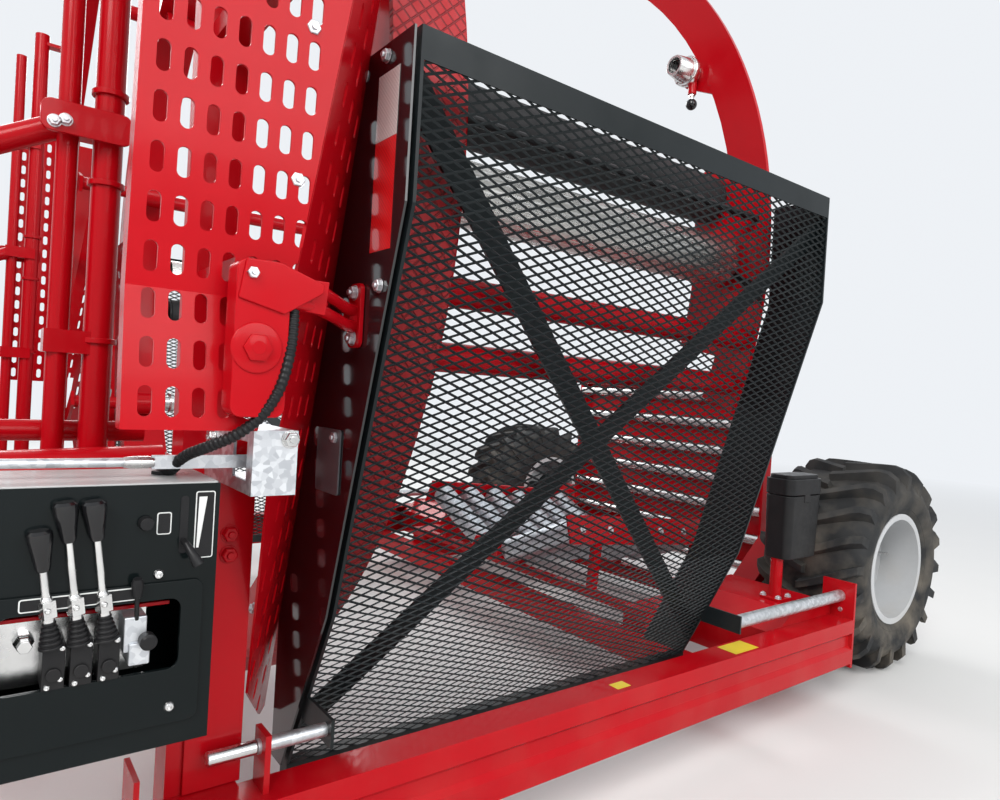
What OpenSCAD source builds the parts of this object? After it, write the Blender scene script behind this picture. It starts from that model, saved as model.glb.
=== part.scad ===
// In-line round bale wrapper. Bales travel along +X, the operator stands at -Y, +Z is up.
// The origin is on the ground, under the middle of the machine.
// Lengths along the machine are measured from the hoop's plane and called "u" below.

/* [Layout] */
// Hoop plane to the tip of the hitch eye
front_reach = 4300; // [4200:20:4600]
// Hoop plane to the rear axle
rear_axle_u = 2240; // [2230:5:2330]
// Height of the hoop's centre above the ground
hoop_z = 1400; // [1395:5:1430]
// Half of the width between the outer faces of the side rails
rail_half_w = 1250; // [1240:5:1290]

/* [Hoop] */
// Outside diameter of the hoop
hoop_d = 2600; // [2560:10:2610]
// Width of the hoop's rim
hoop_w = 150; // [140:2:154]
// Radial depth of the hoop's side plates
hoop_depth = 130; // [115:5:140]
// Thickness of the hoop's plates
hoop_plate = 8; // [6:1:10]
// Thickness of the belt around the hoop
belt_t = 12; // [8:1:15]
// Diameter of a hoop guide roller
guide_d = 90; // [70:2:100]
// Diameter of the hoop's drive wheel
drive_d = 200; // [180:5:220]

/* [Film dispensers] */
// Width of film that a dispenser takes
film_w = 750; // [700:10:770]
// Diameter of the black rubber roller
rubber_d = 130; // [110:2:140]
// Diameter of the ribbed aluminium roller
ribbed_d = 136; // [110:2:142]
// Diameter of the tubes between a dispenser's end plates
tube_d = 60; // [48:2:66]
// Thickness of a dispenser's end plates
crescent_t = 12; // [8:1:14]
// Radial width of a dispenser's end plates
crescent_w = 112; // [90:2:125]

/* [Side guards] */
// Half of the width over the upright part of the mesh guards
guard_half_w = 1400; // [1390:5:1420]
// Height of the top of the mesh guards
guard_top_z = 1530; // [1450:10:1600]
// Length of a mesh guard along the machine
guard_l = 1234; // [1225:1:1245]
// Length of one diamond of the grille
mesh_w = 156; // [110:2:170]
// Height of one diamond of the grille
mesh_h = 78; // [60:2:86]
// Width of a strand of the grille
strand_w = 9; // [6:1:14]
// Height of the slotted guards
slotted_top_z = 2000; // [1850:10:2060]
// Width of one slot
slot_w = 16; // [12:1:18]
// Height of one slot
slot_h = 38; // [30:1:44]
// Distance between slots in a row
slot_pitch = 31; // [30:1:40]
// Distance between rows of slots
slot_rise = 60; // [54:2:70]

/* [Side rails] */
// Height of a side rail
rail_h = 146; // [130:2:150]
// Depth of a side rail
rail_d = 80; // [70:2:100]
// Height of the underside of the side rails
rail_z = 144; // [138:2:150]
// Depth of the rib pressed along a side rail
rib_depth = 12; // [6:1:16]
// Sheet thickness of the side rails
rail_t = 6; // [5:0.5:8]

/* [Wheels] */
// Outside diameter of a rear tyre over its lugs
rear_tyre_d = 787; // [770:1:800]
// Width of a rear tyre
rear_tyre_w = 394; // [380:2:400]
// Height of a lug
lug_h = 28; // [20:1:34]
// Number of lugs on each side of a rear tyre
lug_count = 20; // [16:1:22]
// Centre of a rear tyre from the machine's middle
rear_wheel_y = 1000; // [995:1:1030]
// Outside diameter of a front tyre
front_tyre_d = 550; // [520:5:560]
// Width of a front tyre
front_tyre_w = 190; // [170:5:200]
// Centre of a front tyre from the machine's middle
front_wheel_y = 800; // [790:5:830]
// Hoop plane to the front axle
front_axle_u = 3100; // [3080:10:3140]

/* [Bale path] */
// Height of the underside of the main beams
beam_z = 400; // [400:2:410]
// Height of a main beam
beam_h = 120; // [100:5:125]
// Width of a main beam
beam_w = 80; // [60:5:90]
// Centre of a main beam from the machine's middle
beam_y = 300; // [290:5:305]
// Diameter of a table roller
roller_d = 100; // [80:2:110]
// Length of a table roller
roller_l = 400; // [360:5:410]
// Tilt of the table rollers, which form a trough
roller_tilt = 22; // [18:1:26]
// Distance between table rollers
roller_pitch = 150; // [140:1:170]
// Rollers in each row of the feed table
feed_rollers = 11; // [8:1:11]
// Rollers in each row of the rear table
rear_rollers = 6; // [4:1:6]
// Slope of the rear table
rear_slope = 5; // [3:0.5:6]

/* [Exit ramp] */
// Length of the exit ramp
ramp_l = 900; // [800:10:950]
// Width of the exit ramp
ramp_w = 1200; // [1000:20:1240]
// Roller bars across the ramp
ramp_bars = 7; // [5:1:8]

/* [Pusher] */
// Radius of the push plate
push_r = 480; // [420:10:490]

/* [Controls] */
// Width of the control cabinet
cabinet_w = 600; // [560:10:620]
// Height of the control cabinet
cabinet_h = 335; // [320:5:350]
// Depth of the control cabinet
cabinet_d = 150; // [130:5:160]

/* [Drawbar] */
// Height of the hitch eye
hitch_z = 400; // [380:5:440]
// Bore of the hitch eye
hitch_bore = 40; // [36:1:44]
// Thickness of the hitch eye
hitch_t = 32; // [28:1:36]

/* [Hidden] */
rear_reach = rear_axle_u + rear_tyre_d / 2;
hoop_x = (front_reach - rear_reach) / 2;
fit = 0.3;
pin_fit = 0.08;
red = "#c4121a";
black = "#17181a";
zinc = "#b9bdbf";
steel = "#c9ccce";
rubber = "#232325";
plastic_black = "#1d1e20";
fine = 96;

// Hoop
hoop_r = hoop_d / 2;
rim_r = hoop_r - belt_t;
track_r = hoop_r - hoop_depth;
hoop_half = hoop_w / 2;

// Arch that carries the hoop
arch_u0 = -340;
arch_u1 = -270;
arch_out = rail_half_w - rail_d;
arch_tube = 70;
arch_top = 2640;
arch_chamfer = 620;
arch_foot = rail_z;

// Guard outline seen from the end, as [distance from the middle, height]
foot_y = 1030;
foot_z = 220;
mid_y = 1200;
mid_z = 560;
knee_z = 1260;
skin = [[foot_y, foot_z], [mid_y, mid_z], [guard_half_w, knee_z], [guard_half_w, guard_top_z]];
guard_u0 = -84;
guard_u1 = guard_u0 + guard_l;
sheet = 4;
frame_t = 6;
hinge_y = 1200;
hinge_z = 360;
hinge_tube_d = 38;
hinge_pin_d = 24;
wall_u = -96;

// Front right lower corner of the control cabinet
cabinet_u = -345;
side_reach = 150;
cabinet_y = rail_half_w + side_reach;
cabinet_z = 500;

// Beams and tables
beam_front_u = -3350;
front_cross_w = 30;
power_u0 = beam_front_u + 120;
power_l = 310;
beam_top = beam_z + beam_h;
feed_u0 = -2300;
rear_table_u0 = 1150;
rear_table_l = (rear_rollers - 1) * roller_pitch + roller_d + 80;
rear_table_z = 330;

// Ramp hinge
ramp_u = 2255;
ramp_z = 180;
ramp_hinge_d = 30;

// Wheels
rear_r = rear_tyre_d / 2;
front_r = front_tyre_d / 2;
rear_rim_d = 400;
front_rim_d = 270;

// Drawbar hinge
bar_u = -3460;
bar_z = 300;
bar_pin_d = 30;

// Outriggers of the feed table, each below a gap between two rollers
first_roller = 70;
outrigger_w = 60;
outrigger_us = [for (i = [0, floor(feed_rollers / 2) - 1, feed_rollers - 2])
  feed_u0 + first_roller + (i + 0.5) * roller_pitch];

// Power unit deck and king pin
deck_t = 8;
king_d = 60;

// Pusher and its telescopic cylinder, from the widest tube to the rod
push_u = -2600;
push_z = 1100;
barrel_d = 80;
stage_1_d = 64;
stage_2_d = 50;
rod_d = 36;
cyl_z = beam_z + 70;
cyl_u0 = beam_front_u + front_cross_w;
barrel_l = 662;
stage_inset = 25;
stage_step = 10;

// Jack on the drawbar
jack_u = -4090;
jack_z0 = 260;
jack_top = 670;
jack_y = 150;
jack_d = 70;
jack_inner_d = 56;

// Helpers

// Children in hoop coordinates
module at_hoop() {
  translate([hoop_x, 0, 0]) children();
}

// Children on the operator's side (-Y) and on the far side
module both_sides() {
  children();
  mirror([0, 1, 0]) children();
}

// A box between two corners
module block(a, b) {
  translate(a) cube([b[0] - a[0], b[1] - a[1], b[2] - a[2]]);
}

// An outline in Y and Z, drawn out along X
module run_x(u0, u1) {
  translate([u0, 0, 0]) rotate([90, 0, 90]) linear_extrude(u1 - u0) children();
}

// An outline in X and Z, drawn out along Y
module run_y(y0, y1) {
  translate([0, y1, 0]) rotate([90, 0, 0]) linear_extrude(y1 - y0) children();
}

module rod_x(d, u0, u1, y, z) {
  translate([u0, y, z]) rotate([0, 90, 0]) cylinder(d = d, h = u1 - u0, $fn = fine);
}

module rod_y(d, y0, y1, u, z) {
  translate([u, y1, z]) rotate([90, 0, 0]) cylinder(d = d, h = y1 - y0, $fn = fine);
}

module rod_z(d, z0, z1, u, y) {
  translate([u, y, z0]) cylinder(d = d, h = z1 - z0, $fn = fine);
}

// A rod or box tube between two points
module strut(a, b, d) {
  v = b - a;
  l = norm(v);
  translate(a) rotate([0, acos(v[2] / l), atan2(v[1], v[0])]) cylinder(d = d, h = l, $fn = 48);
}

// A slot with round ends
module obround(w, h) {
  square([w, h - w], center = true);
  for (s = [-1, 1]) translate([0, s * (h - w) / 2]) circle(d = w, $fn = 24);
}

// The guard outline as a sheet of the given thickness, on the operator's side
function flip(list) = [for (i = [len(list) - 1:-1:0]) list[i]];
module bent_sheet(points, t) {
  outer = [for (p = points) [-p[0], p[1]]];
  inner = [for (p = flip(points)) [-p[0] + t, p[1]]];
  polygon(concat(outer, inner));
}

// Chassis

module rail_section() {
  y0 = -rail_half_w;
  z0 = rail_z;
  z1 = rail_z + rail_h;
  rib0 = z0 + rail_h * 0.36;
  rib1 = z0 + rail_h * 0.66;
  s = rib_depth;
  t = rail_t;
  polygon([
    [y0 + rail_d, z0], [y0, z0], [y0, rib0 - s / 2], [y0 + s, rib0 + s / 2], [y0 + s, rib1 - s / 2],
    [y0, rib1 + s / 2], [y0, z1], [y0 + rail_d, z1], [y0 + rail_d, z1 - t], [y0 + t, z1 - t],
    [y0 + t, rib1 + s / 2], [y0 + s + t, rib1 - s / 2], [y0 + s + t, rib0 + s / 2],
    [y0 + t, rib0 - s / 2], [y0 + t, z0 + t], [y0 + rail_d, z0 + t]
  ]);
}

rail_u0 = arch_u0;
rail_u1 = 1760;
end_plate_t = 10;
end_plate_top = 410;

module side_rails() {
  color(red) at_hoop() both_sides() {
    run_x(rail_u0, rail_u1) rail_section();
    // End plate with the hole for the guard's hinge tube
    difference() {
      block([rail_u1, -rail_half_w, rail_z - 14], [rail_u1 + end_plate_t, -rail_half_w + rail_d + 30, end_plate_top]);
      rod_x(hinge_tube_d + 2 * pin_fit, rail_u1 - 1, rail_u1 + end_plate_t + 1, -hinge_y, hinge_z);
    }
    // Bracket on the rail for the pin at the guard's other end
    difference() {
      block([-200, -hinge_y - 26, rail_z + rail_h], [-190, -hinge_y + 26, hinge_z + 26]);
      rod_x(hinge_pin_d + 2 * pin_fit, -201, -189, -hinge_y, hinge_z);
    }
  }
}

module main_beams() {
  color(red) at_hoop() {
    both_sides() {
      block([beam_front_u, -beam_y - beam_w / 2, beam_z], [arch_u0, -beam_y + beam_w / 2, beam_top]);
      // Outriggers for the feed table
      for (u = outrigger_us)
        block([u - outrigger_w / 2, -620, beam_z + 20], [u + outrigger_w / 2, -beam_y - beam_w / 2, beam_top - 20]);
    }
    // Cross members below the beams, clear of the pusher's carriage
    for (u = [-2250, -1200])
      block([u, -beam_y - beam_w / 2, beam_z - 36], [u + 80, beam_y + beam_w / 2, beam_z]);
    block([beam_front_u, -beam_y + beam_w / 2, beam_z + 20], [beam_front_u + front_cross_w, beam_y - beam_w / 2, beam_top - 10]);
    // Bolster over the turning front axle
    difference() {
      block([-front_axle_u - 170, -beam_y + beam_w / 2, beam_z], [-front_axle_u + 170, beam_y - beam_w / 2, beam_z + 30]);
      rod_z(king_d + 2 * pin_fit, beam_z - 1, beam_z + 31, -front_axle_u, 0);
    }
    // Cross beam between the posts of the arch
    block([arch_u0, -arch_out + arch_tube, beam_z], [arch_u1, arch_out - arch_tube, beam_top]);
    // Deck for the power unit
    block([beam_front_u, -430, beam_top], [power_u0 + power_l, 430, beam_top + deck_t]);
  }
}

module arch_outline(inset) {
  w = arch_out - inset;
  t = arch_top - inset;
  c = arch_chamfer - inset * 0.6;
  polygon([[-w, arch_foot], [-w, t - c], [-w + c, t], [w - c, t], [w, t - c], [w, arch_foot]]);
}

module arch_frame() {
  color(red) at_hoop() {
    run_x(arch_u0, arch_u1) difference() {
      arch_outline(0);
      translate([0, -1]) arch_outline(arch_tube);
    }
    // Feet that meet the side rails
    both_sides() {
      block([arch_u0, -rail_half_w + rail_t + rib_depth, rail_z + rail_t], [arch_u1, -arch_out, rail_z + rail_h - rail_t]);
      block([arch_u0 - 60, -rail_half_w + 10, rail_z - 8], [arch_u1 + 60, -arch_out + arch_tube, rail_z]);
    }
  }
}

guide_r = track_r - guide_d / 2 - fit;
guide_plate_t = 12;
// Angle of each guide roller, and how far out its plate reaches over the arch
guides = [[-30, 1330], [18, 1235], [55, 1275], [125, 1275], [162, 1235], [210, 1330]];

module hoop_guides() {
  color(red) at_hoop() for (g = guides) translate([0, 0, hoop_z]) rotate([g[0], 0, 0]) {
    block([arch_u1, guide_r - 32, -32], [arch_u1 + guide_plate_t, g[1], 32]);
    rod_x(50, arch_u1 + guide_plate_t, -hoop_half - 12, guide_r, 0);
    rod_x(30, -hoop_half - 13, -hoop_half + 21, guide_r, 0);
    rod_x(guide_d, -hoop_half + 20, hoop_half - 20, guide_r, 0);
  }
}

drive_angle = -55;
drive_r = hoop_r + drive_d / 2 + fit;

module hoop_drive() {
  y = drive_r * cos(drive_angle);
  z = hoop_z + drive_r * sin(drive_angle);
  color(plastic_black) at_hoop() {
    rod_x(drive_d, -45, 45, y, z);
    rod_x(40, arch_u1 + 60, -44, y, z);
    rod_x(110, arch_u1 + 12, arch_u1 + 100, y, z);
    // Hanger from the arch's cross beam
    block([arch_u1, y - 70, z - 70], [arch_u1 + 12, y + 70, beam_top]);
  }
}

// The slotted sheet beside the hoop's frame, and the strip that follows the mesh guard's outline
panel_u0 = -470;
panel_u1 = -240;
panel_z = 905;
panel_bend_z = 1080;
panel_lean = 55;
panel_foot = 18;

function on_grid(first, last, step) = [for (v = [first:step:last]) v];

module slot_field(us, zs) {
  for (u = us) for (z = zs)
    translate([u, -900, z]) rotate([90, 0, 0]) linear_extrude(700) obround(slot_w, slot_h);
}

// The strip is a flat plate through a point of the end wall, turned and leaning, with s inwards and t up along it
strip_y0 = guard_half_w - 212;
strip_z0 = 1280;
strip_turn = 57.3;
strip_tilt = 8.1;
strip_pitch = 65;
strip_foot_t = -991;
strip_step_t = -355;
strip_low_s = -160;

module on_strip() {
  translate([wall_u, -strip_y0, strip_z0]) rotate([90 + strip_tilt, 0, strip_turn]) children();
}

// Edges of the strip along s at a height t: beside the side sheet, and at the wall
function strip_left(t) = t > strip_step_t ? -250 + 0.091 * (t + 40)
  : strip_low_s + 0.413 * max(0, -480 - t);
function strip_right(t) = -0.2249 * t;

module strip_slots() {
  for (t = [strip_foot_t + 40:slot_rise:690]) for (s = [-190:strip_pitch:200])
    if (s - slot_w / 2 > strip_left(t) + 12 && s + slot_w / 2 < strip_right(t) - 14)
      translate([s, t]) obround(slot_w, slot_h);
}

// What lies inside the side sheets and ahead of the end walls
module strip_room() {
  run_x(panel_u0, wall_u) polygon([[-900, foot_z], [-900, slotted_top_z], [-guard_half_w - panel_lean + sheet, slotted_top_z],
    [-guard_half_w + sheet, panel_bend_z], [-guard_half_w - panel_foot + sheet, panel_z],
    [-guard_half_w - panel_foot + sheet, foot_z]]);
}

module slotted_guards() {
  color(red) at_hoop() both_sides() {
    // Side sheet with its front flange, cut where the strip meets it
    difference() {
      union() {
        run_x(panel_u0, wall_u) bent_sheet([[guard_half_w + panel_foot, panel_z], [guard_half_w, panel_bend_z],
          [guard_half_w + panel_lean, slotted_top_z]], sheet);
        run_x(panel_u0, panel_u0 + sheet) bent_sheet([[guard_half_w + panel_foot, panel_z],
          [guard_half_w, panel_bend_z], [guard_half_w + panel_lean, slotted_top_z]], 30);
      }
      on_strip() translate([0, 0, -0.5]) linear_extrude(400)
        polygon([[-900, -900], [900, -900], [900, 1100], [-900, 1100]]);
      slot_field(on_grid(panel_u0 + 26, panel_u1 - 16, slot_pitch), on_grid(panel_z + 35, panel_bend_z - 20, slot_rise));
      slot_field(on_grid(panel_u0 + 26, panel_u1 - 16, slot_pitch),
        on_grid(panel_bend_z + 38, slotted_top_z - 30, slot_rise));
    }
    // Strip up to the black end wall
    intersection() {
      on_strip() translate([0, 0, -sheet]) linear_extrude(sheet) difference() {
        polygon([[-500, 1000], [-500, strip_step_t], [strip_low_s, strip_step_t], [strip_low_s, -480], [1, -870],
          [178, strip_foot_t], [300, strip_foot_t], [300, 1000]]);
        strip_slots();
      }
      strip_room();
    }
    // Stays from the arch to the sheets
    for (z = [panel_bend_z + 30, 1500, 1900]) {
      y = guard_half_w + panel_lean * (z - panel_bend_z) / (slotted_top_z - panel_bend_z);
      block([arch_u0 + 10, -y + sheet - 2.5, z], [arch_u1 - 10, -arch_out, z + 30]);
    }
  }
}

module end_walls() {
  color(black) at_hoop() both_sides() run_x(wall_u, wall_u + sheet) difference() {
    polygon([[-foot_y, foot_z], [-mid_y, mid_z], [-guard_half_w, knee_z], [-guard_half_w, guard_top_z],
      [-wall_inner_y, guard_top_z], [-wall_inner_y, foot_z]]);
    translate([0, hoop_z]) circle(r = bale_clear_r, $fn = fine);
    for (g = guides) translate([guide_r * cos(g[0]), hoop_z + guide_r * sin(g[0])]) circle(d = 66, $fn = 48);
  }
}

wall_inner_y = 980;
bale_clear_r = 1040;

mast_u = -430;
mast_y = 905;
mast_d = 48;
mast_thin_d = 34;
mast_gap = 62;

module mast_tubes() {
  color(red) at_hoop() both_sides() {
    rod_z(mast_d, beam_z + 60, 2240, mast_u, -mast_y);
    rod_z(mast_thin_d, beam_z + 60, 2140, mast_u - mast_gap, -mast_y);
    // Foot bracket on the arch's cross beam
    block([mast_u - mast_gap - 30, -mast_y - 35, beam_z + 40], [arch_u0, -mast_y + 35, beam_z + 60]);
    // Top bracket to the arch
    block([mast_u - 10, -mast_y - 20, 2200], [arch_u0, -mast_y + 20, 2212]);
    // Clip that ties the tubes together, with the fork of the side stay
    for (z = [1000, 1380, 1800])
      block([mast_u - mast_gap - 22, -mast_y - 20, z], [mast_u + 10, -mast_y + 30, z + 40]);
    strut([mast_u - mast_gap, -mast_y + 5, 1400], [outrigger_us[0], -590, beam_top + 7], 42);
    block([outrigger_us[0] - 30, -620, beam_top - 20], [outrigger_us[0] + 30, -560, beam_top + 22]);
  }
}

module cabinet_bracket() {
  color(red) at_hoop() {
    // Two plates from the arch to the back of the cabinet
    for (z = [cabinet_z + 60, cabinet_z + cabinet_h - 60])
      translate([0, 0, z]) linear_extrude(8) polygon([[arch_u0, -arch_out + 60], [arch_u0, -arch_out],
        [cabinet_u - 30, -cabinet_y + cabinet_d], [cabinet_u - 210, -cabinet_y + cabinet_d]]);
    // Bent foot in front of the arch's post, on the side rail
    block([arch_u0 - 60, -rail_half_w, rail_z + rail_h], [arch_u1 + 40, -arch_out, rail_z + rail_h + 8]);
    block([arch_u0 - 60, -rail_half_w, rail_z + rail_h + 8], [arch_u0 - 52, -arch_out, rail_z + rail_h + 90]);
  }
}

// Distance of the slotted side sheet and of the strip beside it from the middle, at a height
function sheet_y(z) = z > panel_bend_z
  ? guard_half_w + panel_lean * (z - panel_bend_z) / (slotted_top_z - panel_bend_z)
  : guard_half_w + panel_foot * (panel_bend_z - z) / (panel_bend_z - panel_z);

latch_u0 = -352;
latch_u1 = -284;
latch_z0 = panel_z + 20;
latch_z1 = panel_bend_z + 45;
latch_y = guard_half_w + 50;
latch_elbow = [-235, -latch_y + 24, latch_z1 - 32];
latch_pad_y = guard_half_w - 140;
latch_pad_z = 1040;

module guard_latch() {
  color(red) at_hoop() {
    // Housing on the side sheet, over its bend
    run_x(latch_u0, latch_u1) polygon([[-latch_y, latch_z0 + 12], [-latch_y + 12, latch_z0],
      [-sheet_y(latch_z0) - fit, latch_z0], [-guard_half_w - fit, panel_bend_z], [-sheet_y(latch_z1) - fit, latch_z1],
      [-latch_y + 12, latch_z1], [-latch_y, latch_z1 - 12]]);
    rod_y(62, -latch_y - 12, -latch_y + 1, latch_u0 + 27, 1014);
    // Arm across the strip to a pad on the end wall
    strut([latch_u1 - 14, -latch_y + 12, latch_z1 - 30], latch_elbow, 26);
    translate(latch_elbow) sphere(d = 26, $fn = 48);
    strut(latch_elbow, [wall_u - 16, -latch_pad_y, latch_pad_z + 50], 26);
    block([wall_u - 24, -latch_pad_y - 20, latch_pad_z], [wall_u, -latch_pad_y + 20, latch_pad_z + 100]);
  }
}

// Rear frame and table

rear_beam_u = 1180;
rail_inner = rail_half_w - rail_d;
arm_y0 = rear_wheel_y - rear_tyre_w / 2 - 23;
arm_y1 = arm_y0 - 100;
outrigger_u0 = 1430;
outrigger_u1 = rail_u1;
outrigger_top = 330;
low_tube_u = 2060;
low_tube_z = 80;

module rear_frame() {
  color(red) at_hoop() {
    // Cross beam between the side rails, behind the swing of the film dispensers
    block([rear_beam_u, -rail_inner, rail_z - 34], [rear_beam_u + 90, rail_inner, rail_z + 36]);
    both_sides() {
      // Arm to the wheel motor
      run_y(-arm_y0, -arm_y1) polygon([[rear_beam_u + 90, rail_z - 34], [rear_axle_u - 60, rail_z - 34],
        [rear_axle_u + 80, rear_r - 60], [rear_axle_u + 80, rear_r + 60], [rear_axle_u - 120, rear_r + 60],
        [rear_axle_u - 330, rail_z + 130], [rear_beam_u + 90, rail_z + 110]]);
      // Box that ties the end of the side rail to the arm
      run_y(-rail_inner, -arm_y0) polygon([[outrigger_u0, rail_z + 6], [outrigger_u1 - 50, rail_z + 6],
        [outrigger_u1, rail_z + 60], [outrigger_u1, outrigger_top], [outrigger_u0 + 90, outrigger_top],
        [outrigger_u0, outrigger_top - 60]]);
    }
    // Low cross tube ahead of the ramp
    block([low_tube_u, -arm_y1 - 10, low_tube_z], [low_tube_u + 70, arm_y1 + 10, low_tube_z + 60]);
    // Cheeks that carry the ramp's hinge
    both_sides() difference() {
      run_y(-ramp_w / 2 - 34, -ramp_w / 2 - 18) polygon([[low_tube_u, low_tube_z], [ramp_u - 40, low_tube_z],
        [ramp_u + 35, ramp_z - 40], [ramp_u + 35, ramp_z + 40], [ramp_u - 40, ramp_z + 40], [low_tube_u, ramp_z]]);
      rod_y(ramp_hinge_d + 2 * pin_fit, -ramp_w / 2 - 40, -ramp_w / 2 - 10, ramp_u, ramp_z);
    }
  }
}

// Children in the rear table's own frame, sloping down to the rear
module on_rear_table() {
  translate([rear_table_u0, 0, rear_table_z]) rotate([0, rear_slope, 0]) children();
}

trough_y = 90;

// One roller of a trough, from its low inner end outwards
module trough_roller(l) {
  translate([0, -trough_y, 0]) rotate([90 - roller_tilt, 0, 0]) {
    cylinder(d = roller_d, h = l, $fn = 48);
    translate([0, 0, -18]) cylinder(d = 24, h = l + 36, $fn = 24);
  }
}

// One side plate along a trough's rollers: it stands across the rollers' axes
module trough_plate(l, at, h) {
  translate([0, -trough_y - at * cos(roller_tilt), at * sin(roller_tilt)]) rotate([-roller_tilt, 0, 0])
    translate([0, -plate_t, -h / 2]) cube([l, plate_t, h]);
}

plate_gap = 14;
plate_h = 110;
plate_t = 8;

// Lower outer edge of the plate at the high end of a trough's rollers, as [outwards, up]
function plate_foot(l) = let (at = l + plate_gap + plate_t)
  [at * cos(roller_tilt) + plate_h / 2 * sin(roller_tilt), at * sin(roller_tilt) - plate_h / 2 * cos(roller_tilt)];

module rear_table_channels() {
  foot = plate_foot(roller_l) + [trough_y, 0];
  color(red) at_hoop() on_rear_table() {
    both_sides() difference() {
      union() {
        trough_plate(rear_table_l, roller_l + plate_gap + plate_t, plate_h);
        trough_plate(rear_table_l, -plate_gap, 70);
      }
      for (i = [0:rear_rollers - 1]) translate([first_roller + i * roller_pitch, 0, 0]) trough_roller_bore();
    }
    // Bearers between the frame's arms, with a stand for each plate
    for (u = [for (i = [0.5, rear_rollers - 1.5]) first_roller + i * roller_pitch - 18]) {
      block([u, -arm_y1, -90], [u + 36, arm_y1, -60]);
      both_sides() {
        block([u, -foot[0] - 8, -61], [u + 36, -foot[0] + 18, foot[1] + 14]);
        block([u, -trough_y + 2, -61], [u + 36, -trough_y + 26, -22]);
      }
    }
  }
}

module trough_roller_bore() {
  translate([0, -trough_y, 0]) rotate([90 - roller_tilt, 0, 0])
    translate([0, 0, -60]) cylinder(d = 24 + 2 * pin_fit, h = roller_l + 120, $fn = 24);
}

module rear_table_rollers() {
  color(zinc) at_hoop() on_rear_table() both_sides()
    for (i = [0:rear_rollers - 1]) translate([first_roller + i * roller_pitch, 0, 0]) trough_roller(roller_l);
}

module rear_wheel_motors() {
  color(black) at_hoop() both_sides() {
    rod_y(230, -arm_y0 - 50, -arm_y0, rear_axle_u, rear_r);
    rod_y(90, -rear_wheel_y - 20, -arm_y0 - 50, rear_axle_u, rear_r);
  }
}

// Feed table

feed_z = beam_top + 64;
feed_l = (feed_rollers - 1) * roller_pitch + roller_d + 80;

module on_feed_table() {
  translate([feed_u0, 0, feed_z]) children();
}

feed_inner = 190;
feed_roller_l = 300;

module feed_table_sides() {
  color(red) at_hoop() {
    both_sides() {
      difference() {
        on_feed_table() translate([0, trough_y - feed_inner, 0]) {
          trough_plate(feed_l, feed_roller_l + plate_gap + plate_t, plate_h);
          trough_plate(feed_l, -plate_gap, 70);
        }
        on_feed_table() translate([0, trough_y - feed_inner, 0])
          for (i = [0:feed_rollers - 1]) translate([first_roller + i * roller_pitch, 0, 0]) trough_roller_bore();
      }
      // Stands on the outriggers and on the beams
      foot = plate_foot(feed_roller_l) + [feed_inner, feed_z];
      for (u = outrigger_us) {
        block([u - 18, -foot[0] - 8, beam_top - 20], [u + 18, -foot[0] + 18, foot[1] + 14]);
        block([u - 18, -beam_y + beam_w / 2 - 20, beam_top], [u + 18, -feed_inner + 24, feed_z - 22]);
      }
    }
  }
}

module feed_table_rollers() {
  color(zinc) at_hoop() on_feed_table() both_sides() translate([0, trough_y - feed_inner, 0])
    for (i = [0:feed_rollers - 1]) translate([first_roller + i * roller_pitch, 0, 0]) trough_roller(feed_roller_l);
}

trip_y = 860;
trip_z = 860;

trip_tube_y = 1060;
trip_tube_d = 76;
trip_tube_u0 = feed_u0 + 100;
function trip_tube_z(u) = 740 + 75 * (u - trip_tube_u0) / (arch_u0 - trip_tube_u0);

module trip_bar() {
  color(red) at_hoop() {
    rod_x(38, feed_u0 + 200, arch_u0, -trip_y, trip_z);
    strut([trip_tube_u0, -trip_tube_y, trip_tube_z(trip_tube_u0)], [arch_u0 - 6, -trip_tube_y, trip_tube_z(arch_u0)],
      trip_tube_d);
    // Lug on the arch's post
    block([arch_u0 - 20, -arch_out + 30, 790], [arch_u0, -trip_tube_y + 20, 840]);
    for (u = [outrigger_us[0] + 32, outrigger_us[2] + 32]) {
      block([u, -trip_y - 60, 470], [u + 40, -trip_y - 16, trip_z]);
      block([u, -trip_y - 60, 430], [u + 40, -620, 470]);
      block([u - 62, -700, 430], [u + 40, -620, 470]);
      block([u, -trip_tube_y, trip_tube_z(u) - 20], [u + 40, -trip_y - 50, trip_tube_z(u) + 20]);
    }
  }
}

// Bent zinc plate with a window, beside the arch's post, and the rod that runs into it
trip_box_u0 = -305;
trip_box_u1 = -243;
trip_box_z = 815;
trip_box_h = 90;
trip_out = rail_half_w + side_reach;
trip_rod_y = trip_out - 55;
trip_rod_z = 857;

module trip_linkage() {
  lever_u = outrigger_us[2] + 45;
  color(zinc) at_hoop() {
    difference() {
      block([trip_box_u0, -trip_out, trip_box_z], [trip_box_u1, -arch_out, trip_box_z + trip_box_h]);
      block([trip_box_u0 + 4, -trip_out + 4, trip_box_z + 4], [trip_box_u1 + 1, -arch_out + 1, trip_box_z + trip_box_h - 4]);
      // Window for the rod
      block([trip_box_u0 - 1, -trip_rod_y - 30, trip_box_z + 18], [trip_box_u0 + 5, -trip_rod_y + 30, trip_box_z + 72]);
    }
    rod_x(12, lever_u, trip_box_u0 - 110, -trip_rod_y, trip_rod_z);
    block([trip_box_u0 - 114, -trip_rod_y - 3, trip_rod_z - 9], [trip_box_u0 + 40, -trip_rod_y + 3, trip_rod_z + 9]);
    // Pin that holds the rod's end in the plate
    rod_y(14, -trip_out + 3, -trip_rod_y + 20, trip_box_u0 + 28, trip_rod_z);
    // Lever from the trip bar's post
    block([lever_u - 12, -trip_rod_y - 12, trip_rod_z - 12], [lever_u, -trip_y - 60, trip_rod_z + 3]);
  }
}

// Controls

// Children with the cabinet's front right lower corner as the origin
module at_cabinet() {
  translate([cabinet_u, -cabinet_y, cabinet_z]) children();
}

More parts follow.
